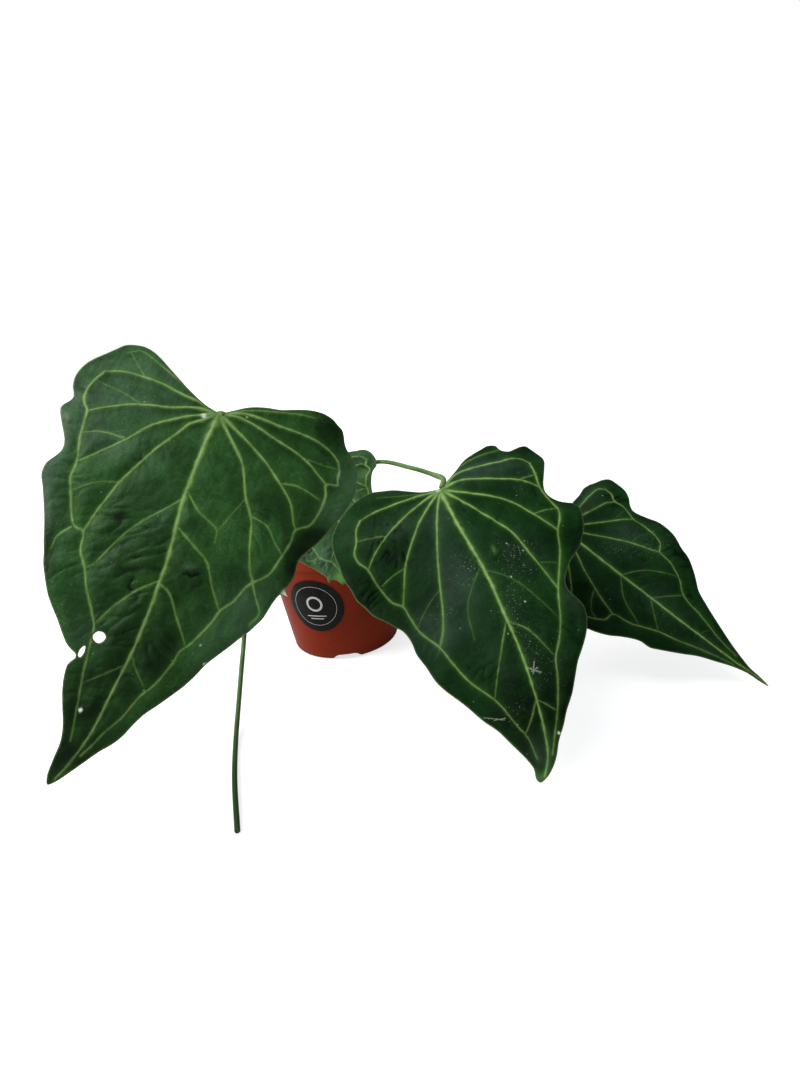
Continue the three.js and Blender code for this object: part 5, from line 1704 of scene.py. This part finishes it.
def print_label(settings):
    """The round label: a thin bent film with softened edges."""
    vertices, plane, faces, layers = [], [], [], []
    for out in (LABEL_THICKNESS, 0.0):
        layers.append(len(vertices))
        vertices.append(label_place(0, 0, out))
        plane.append((0.0, 0.0))
        for number in range(1, LABEL_RINGS + 1):
            radius = LABEL_RADIUS * number / LABEL_RINGS
            height = out - (LABEL_SOFT_EDGE if out and number == LABEL_RINGS else 0.0)
            for i in range(LABEL_SIDES):
                turn = 2 * math.pi * i / LABEL_SIDES
                vertices.append(label_place(radius, turn, height))
                plane.append((radius * math.cos(turn), radius * math.sin(turn)))

    def at(layer, number, i):
        return layer if number == 0 else layer + 1 + (number - 1) * LABEL_SIDES + i % LABEL_SIDES

    top, bottom = layers
    for i in range(LABEL_SIDES):
        for layer in layers:
            loops = [(at(layer, 0, 0), at(layer, 1, i), at(layer, 1, i + 1))]
            for k in range(1, LABEL_RINGS):
                loops.append((at(layer, k, i), at(layer, k + 1, i), at(layer, k + 1, i + 1),
                              at(layer, k, i + 1)))
            faces += loops if layer == top else [loop[::-1] for loop in loops]
        faces.append((at(bottom, LABEL_RINGS, i), at(bottom, LABEL_RINGS, i + 1),
                      at(top, LABEL_RINGS, i + 1), at(top, LABEL_RINGS, i)))
    piece = new_piece("label_disc", vertices, faces, [label_material(settings)], "label_film")
    add_uv(piece, "label_plane", plane)
    piece.data.set_sharp_from_angle(angle=LABEL_SHARP)
    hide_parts("pot_label")


def mix_top(x, y):
    """Height of the mix, as its solid has it."""
    coarse = math.sin(0.33 * x + 0.7) * math.sin(0.29 * y - 0.4)
    chunks = math.sin(0.71 * x + 0.4 * y) * math.sin(0.63 * y - 0.35 * x + 1.1)
    dome = 2.2 * math.exp(-(x * x + y * y) / 600)
    return MIX_TOP + dome + MIX_RELIEF * (0.5 * coarse + 0.5 * chunks)


def bed_top(x, y):
    """Height of the bed's rough top, with its crumbs and hollows."""
    crumb = 0.55 * noise.noise((x * 0.55, y * 0.55, 1.0)) + 0.4 * noise.noise((x * 1.6, y * 1.6, 4.0))
    return mix_top(x, y) + crumb - 0.8 * max(0.0, noise.noise((x * 0.2, y * 0.2, 9.0)))


def fill_bed(look):
    """The body of the mix: a rough top, a wall just inside the pot and a hole for the stem."""
    wall = side_radius(BED_SHOULDER) - WALL - 0.7
    hole = [(0, STEM_HOLE_FLOOR), (STEM_HOLE, STEM_HOLE_FLOOR)]
    top = [(radius, MIX_TOP) for radius in np.linspace(STEM_HOLE, wall, BED_RINGS + 1)]
    side = [(wall, BED_SHOULDER), *((side_radius(z) - WALL - BED_GAP, z) for z in (40, 10)),
            (FOOT_RADIUS - 2, BED_FLOOR), (0, BED_FLOOR)]
    vertices, faces = lathe([*hole, *top, *side], BED_SIDES)
    vertices = [(x, y, bed_top(x, y) if z == MIX_TOP else z) for x, y, z in vertices]
    faces = [[face[0], *face[:0:-1]] for face in faces]
    piece = new_piece("potting_mix_bed", vertices, faces, [look], "potting_mix")
    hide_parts("potting_mix")


ICO = (1 + math.sqrt(5)) / 2
ICO_POINTS = [(-1, ICO, 0), (1, ICO, 0), (-1, -ICO, 0), (1, -ICO, 0), (0, -1, ICO), (0, 1, ICO),
              (0, -1, -ICO), (0, 1, -ICO), (ICO, 0, -1), (ICO, 0, 1), (-ICO, 0, -1), (-ICO, 0, 1)]
ICO_FACES = [(0, 11, 5), (0, 5, 1), (0, 1, 7), (0, 7, 10), (0, 10, 11), (1, 5, 9), (5, 11, 4),
             (11, 10, 2), (10, 7, 6), (7, 1, 8), (3, 9, 4), (3, 4, 2), (3, 2, 6), (3, 6, 8), (3, 8, 9),
             (4, 9, 5), (2, 4, 11), (6, 2, 10), (8, 6, 7), (9, 8, 1)]


def round_lump():
    """A unit ball of triangles: the twenty-faced one with every face split in four."""
    points = [np.array(p) / np.linalg.norm(p) for p in ICO_POINTS]
    halves, faces = {}, []
    for a, b, c in ICO_FACES:
        mids = []
        for i, j in ((a, b), (b, c), (c, a)):
            key = (min(i, j), max(i, j))
            if key not in halves:
                middle = points[i] + points[j]
                halves[key] = len(points)
                points.append(middle / np.linalg.norm(middle))
            mids.append(halves[key])
        ab, bc, ca = mids
        faces += [(a, ab, ca), (b, bc, ab), (c, ca, bc), (ab, bc, ca)]
    return np.array(points), faces


def random_turn(rng, tilt):
    """A turn about Z after a random tilt of up to `tilt`."""
    a, b, c = rng.uniform(0, 2 * math.pi), rng.uniform(-tilt, tilt), rng.uniform(-tilt, tilt)
    return turning(a, 2) @ turning(b, 0) @ turning(c, 1)


def scatter(name, count, rng, sizes, tilt, angular, look):
    """Lumps bedded in the top of the mix, each with its own size, turn and dents."""
    ball, loops = round_lump()
    wall = side_radius(MIX_TOP) - WALL - 2.0
    cornered = np.sign(ball) * np.abs(ball) ** angular
    cornered /= np.abs(cornered).max()
    shapes = []
    for number in range(count):
        size = np.array([rng.uniform(*pair) for pair in sizes])
        nearest, farthest = STEM_HOLE + 2.5 + size[0] * 0.5, wall - size[:2].max()
        radius = math.sqrt(rng.uniform(nearest ** 2, farthest ** 2))
        a = rng.uniform(0, 2 * math.pi)
        x, y = radius * math.cos(a), radius * math.sin(a)
        dents = [1 + 0.30 * noise.noise(Vector(p) * 1.7 + Vector((number * 3.1, 0, 0))) for p in ball]
        lump = cornered * np.array(dents)[:, None] * size @ random_turn(rng, tilt).T
        shapes.append((lump + (x, y, mix_top(x, y) + size[2] * 0.35), loops))
    vertices, faces, _ = join_shapes(shapes)
    piece = new_piece(name, vertices, faces, [look], "potting_mix")
    piece.data.set_sharp_from_angle(angle=LUMP_SHARP)


# Operators, panel and registration
class ANTHURIUM_OT_stage(bpy.types.Operator):
    """Lay the pale floor, hang the soft lights and set up the camera"""
    bl_idname = "anthurium.stage"
    bl_label = "Set the stage"

    def execute(self, context):
        settings = context.scene.anthurium_stage
        self.lay_floor(settings)
        self.light(context, settings)
        self.place_camera(context)
        context.scene.view_settings.view_transform = "Standard"
        return {"FINISHED"}

    def lay_floor(self, settings):
        mesh = bpy.data.meshes.new("floor")
        mesh.from_pydata(ring(FLOOR_RADIUS, 0, FLOOR_SIDES), [], [tuple(range(FLOOR_SIDES))])
        mesh.materials.append(floor_material(settings))
        scene_object("floor", mesh)

    def light(self, context, settings):
        world = bpy.data.worlds.new("soft room")
        context.scene.world = world
        world.use_nodes = True
        world.node_tree.nodes.clear()
        n = Nodes(world.node_tree)
        path = n.add("LightPath")
        height = n.add("SeparateXYZ", {0: n.add("TexCoord").outputs["Generated"]}).outputs[2]
        soft = n.mix(n.step(height, -0.2, 0.9), (0.70, 0.72, 0.75), (0.95, 0.98, 1.05))
        tone = n.mix(path.outputs["Is Camera Ray"], soft, (1.0, 1.0, 1.0))
        strength = n.blend_values(path.outputs["Is Glossy Ray"], settings.sky, settings.mirror)
        strength = n.blend_values(path.outputs["Is Camera Ray"], strength, 1.0)
        ground = n.add("Background", {"Color": tone, "Strength": strength})
        out = n.add("OutputWorld")
        world.node_tree.links.new(ground.outputs[0], out.inputs["Surface"])
        lamps = [
            ("key", (-1.25, -0.3, 1.2), settings.key, settings.key_size, (1.0, 0.985, 0.95)),
            ("top", (-0.31, -0.42, 1.56), settings.key * 0.30, 0.7, (0.84, 0.93, 1.0)),
            ("back", (-0.3, 1.5, 0.9), settings.key * 0.10, 1.3, (1.0, 1.0, 1.0)),
        ]
        for name, place, power, size, tone in lamps:
            lamp = bpy.data.lights.new(name, "AREA")
            lamp.energy = power
            lamp.size = size
            lamp.color = tone
            holder = scene_object(name, lamp)
            holder.location = place
            holder.rotation_euler = (LAMP_AIM - Vector(place)).to_track_quat("-Z", "Y").to_euler()

    def place_camera(self, context):
        view = bpy.data.cameras.new("camera")
        view.sensor_width = SENSOR_MM
        view.lens = FOCAL_PIXELS / PHOTO_HEIGHT * SENSOR_MM
        view.clip_start = 0.01
        view.clip_end = 50.0
        holder = scene_object("camera", view)
        ahead = Vector((0, math.cos(CAMERA_PITCH), -math.sin(CAMERA_PITCH)))
        level = Vector((1, 0, 0))
        above = level.cross(ahead)
        right = level * math.cos(CAMERA_ROLL) + above * math.sin(CAMERA_ROLL)
        up = above * math.cos(CAMERA_ROLL) - level * math.sin(CAMERA_ROLL)
        matrix = holder.matrix_world.to_3x3()
        matrix.col[0], matrix.col[1], matrix.col[2] = right, up, -ahead
        holder.matrix_world = matrix.to_4x4()
        holder.location = CAMERA_PLACE
        context.scene.camera = holder


class ANTHURIUM_OT_pot(bpy.types.Operator):
    """Mould the nursery pot and put its round label on"""
    bl_idname = "anthurium.pot"
    bl_label = "Mould the pot"

    def execute(self, context):
        mould_pot(context.scene.anthurium_pot)
        print_label(context.scene.anthurium_pot)
        return {"FINISHED"}


class ANTHURIUM_OT_mix(bpy.types.Operator):
    """Fill the pot with fibre, bark chips and pale grit"""
    bl_idname = "anthurium.mix"
    bl_label = "Fill the pot"

    def execute(self, context):
        settings = context.scene.anthurium_mix
        rng = np.random.default_rng(MIX_SEED)
        fill_bed(fibre_material("mix fibre", settings.fibre, 700.0, depth=0.0012, rough=0.8))
        bark = fibre_material("bark chip", settings.bark, 420.0, (1.0, 2.2, 3.0), 0.0006, 0.72)
        grit = fibre_material("pale grit", settings.grit, 1600.0, depth=0.0003, rough=0.75)
        scatter("bark_chips", BARK_CHIPS, rng, [(2.4, 6.2), (1.6, 3.6), (0.9, 1.9)], 0.55, 0.62, bark)
        scatter("pale_grit", PALE_GRIT, rng, [(0.7, 1.7), (0.7, 1.5), (0.6, 1.3)], 1.5, 0.85, grit)
        return {"FINISHED"}


class ANTHURIUM_OT_stem(bpy.types.Operator):
    """Grow the short stem with its papery sheaths and aerial roots"""
    bl_idname = "anthurium.stem"
    bl_label = "Grow the stem"

    def execute(self, context):
        settings = context.scene.anthurium_stalks
        looks = [
            fibre_material("stem skin", (0.13, 0.15, 0.05), 600.0, (1.0, 1.0, 0.4), 0.0004, 0.55),
            fibre_material("sheath paper", settings.sheath, 900.0, (1.0, 1.0, 0.12), 0.0005, 0.6),
            fibre_material("root skin", settings.root, 800.0, depth=0.0004, rough=0.65),
        ]
        sheaths = [sheath(*row) for row in SHEATHS]
        roots = [aerial_root(*row) for row in AERIAL_ROOTS]
        vertices, faces, owner = join_shapes([stem_body(), *sheaths, *roots])
        kinds = [0] + [1] * len(sheaths) + [2] * len(roots)
        index = [kinds[number] for number in owner]
        piece = new_piece("stem_crown", vertices, faces, looks, "stem_skin", index)
        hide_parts("stem")
        return {"FINISHED"}


class ANTHURIUM_OT_stalks(bpy.types.Operator):
    """Grow the stalks, each with its foot and its swollen joint"""
    bl_idname = "anthurium.stalks"
    bl_label = "Grow the stalks"

    def execute(self, context):
        settings = context.scene.anthurium_stalks
        look = stalk_material(settings)
        cut_look = fibre_material("cut end", settings.cut, 2600.0, depth=0.0002, rough=0.5)
        for name in STALKS:
            grow_stalk(name, settings, look, cut_look)
        return {"FINISHED"}


class ANTHURIUM_OT_blades(bpy.types.Operator):
    """Grow the four veined leaf blades"""
    bl_idname = "anthurium.blades"
    bl_label = "Grow the blades"

    def execute(self, context):
        settings = context.scene.anthurium_blades
        rim_look = rim_material(settings)
        for blade in BLADES:
            grow_blade(blade, settings, rim_look)
        return {"FINISHED"}


class ANTHURIUM_PT_panel(bpy.types.Panel):
    """Lists the steps that build the plant"""
    bl_idname = "ANTHURIUM_PT_panel"
    bl_label = "Potted anthurium"
    bl_space_type = "VIEW_3D"
    bl_region_type = "UI"
    bl_category = "Anthurium"

    def draw(self, context):
        for step, group in STEPS:
            box = self.layout.box()
            box.operator(step.bl_idname)
            settings = getattr(context.scene, group)
            for name in settings.__annotations__:
                box.prop(settings, name)


STEPS = [
    (ANTHURIUM_OT_stage, "anthurium_stage"),
    (ANTHURIUM_OT_pot, "anthurium_pot"),
    (ANTHURIUM_OT_mix, "anthurium_mix"),
    (ANTHURIUM_OT_stem, "anthurium_stalks"),
    (ANTHURIUM_OT_stalks, "anthurium_stalks"),
    (ANTHURIUM_OT_blades, "anthurium_blades"),
]
GROUPS = {
    "anthurium_blades": BladeSettings,
    "anthurium_stalks": StalkSettings,
    "anthurium_pot": PotSettings,
    "anthurium_mix": MixSettings,
    "anthurium_stage": StageSettings,
}


def register():
    for name, group in GROUPS.items():
        bpy.utils.register_class(group)
        setattr(bpy.types.Scene, name, bpy.props.PointerProperty(type=group))
    for step, _ in STEPS:
        bpy.utils.register_class(step)
    bpy.utils.register_class(ANTHURIUM_PT_panel)


def unregister():
    bpy.utils.unregister_class(ANTHURIUM_PT_panel)
    for step, _ in reversed(STEPS):
        bpy.utils.unregister_class(step)
    for name, group in GROUPS.items():
        delattr(bpy.types.Scene, name)
        bpy.utils.unregister_class(group)


def main():
    register()
    bpy.ops.anthurium.stage()
    bpy.ops.anthurium.pot()
    bpy.ops.anthurium.mix()
    bpy.ops.anthurium.stem()
    bpy.ops.anthurium.stalks()
    bpy.ops.anthurium.blades()


if __name__ == "__main__":
    main()
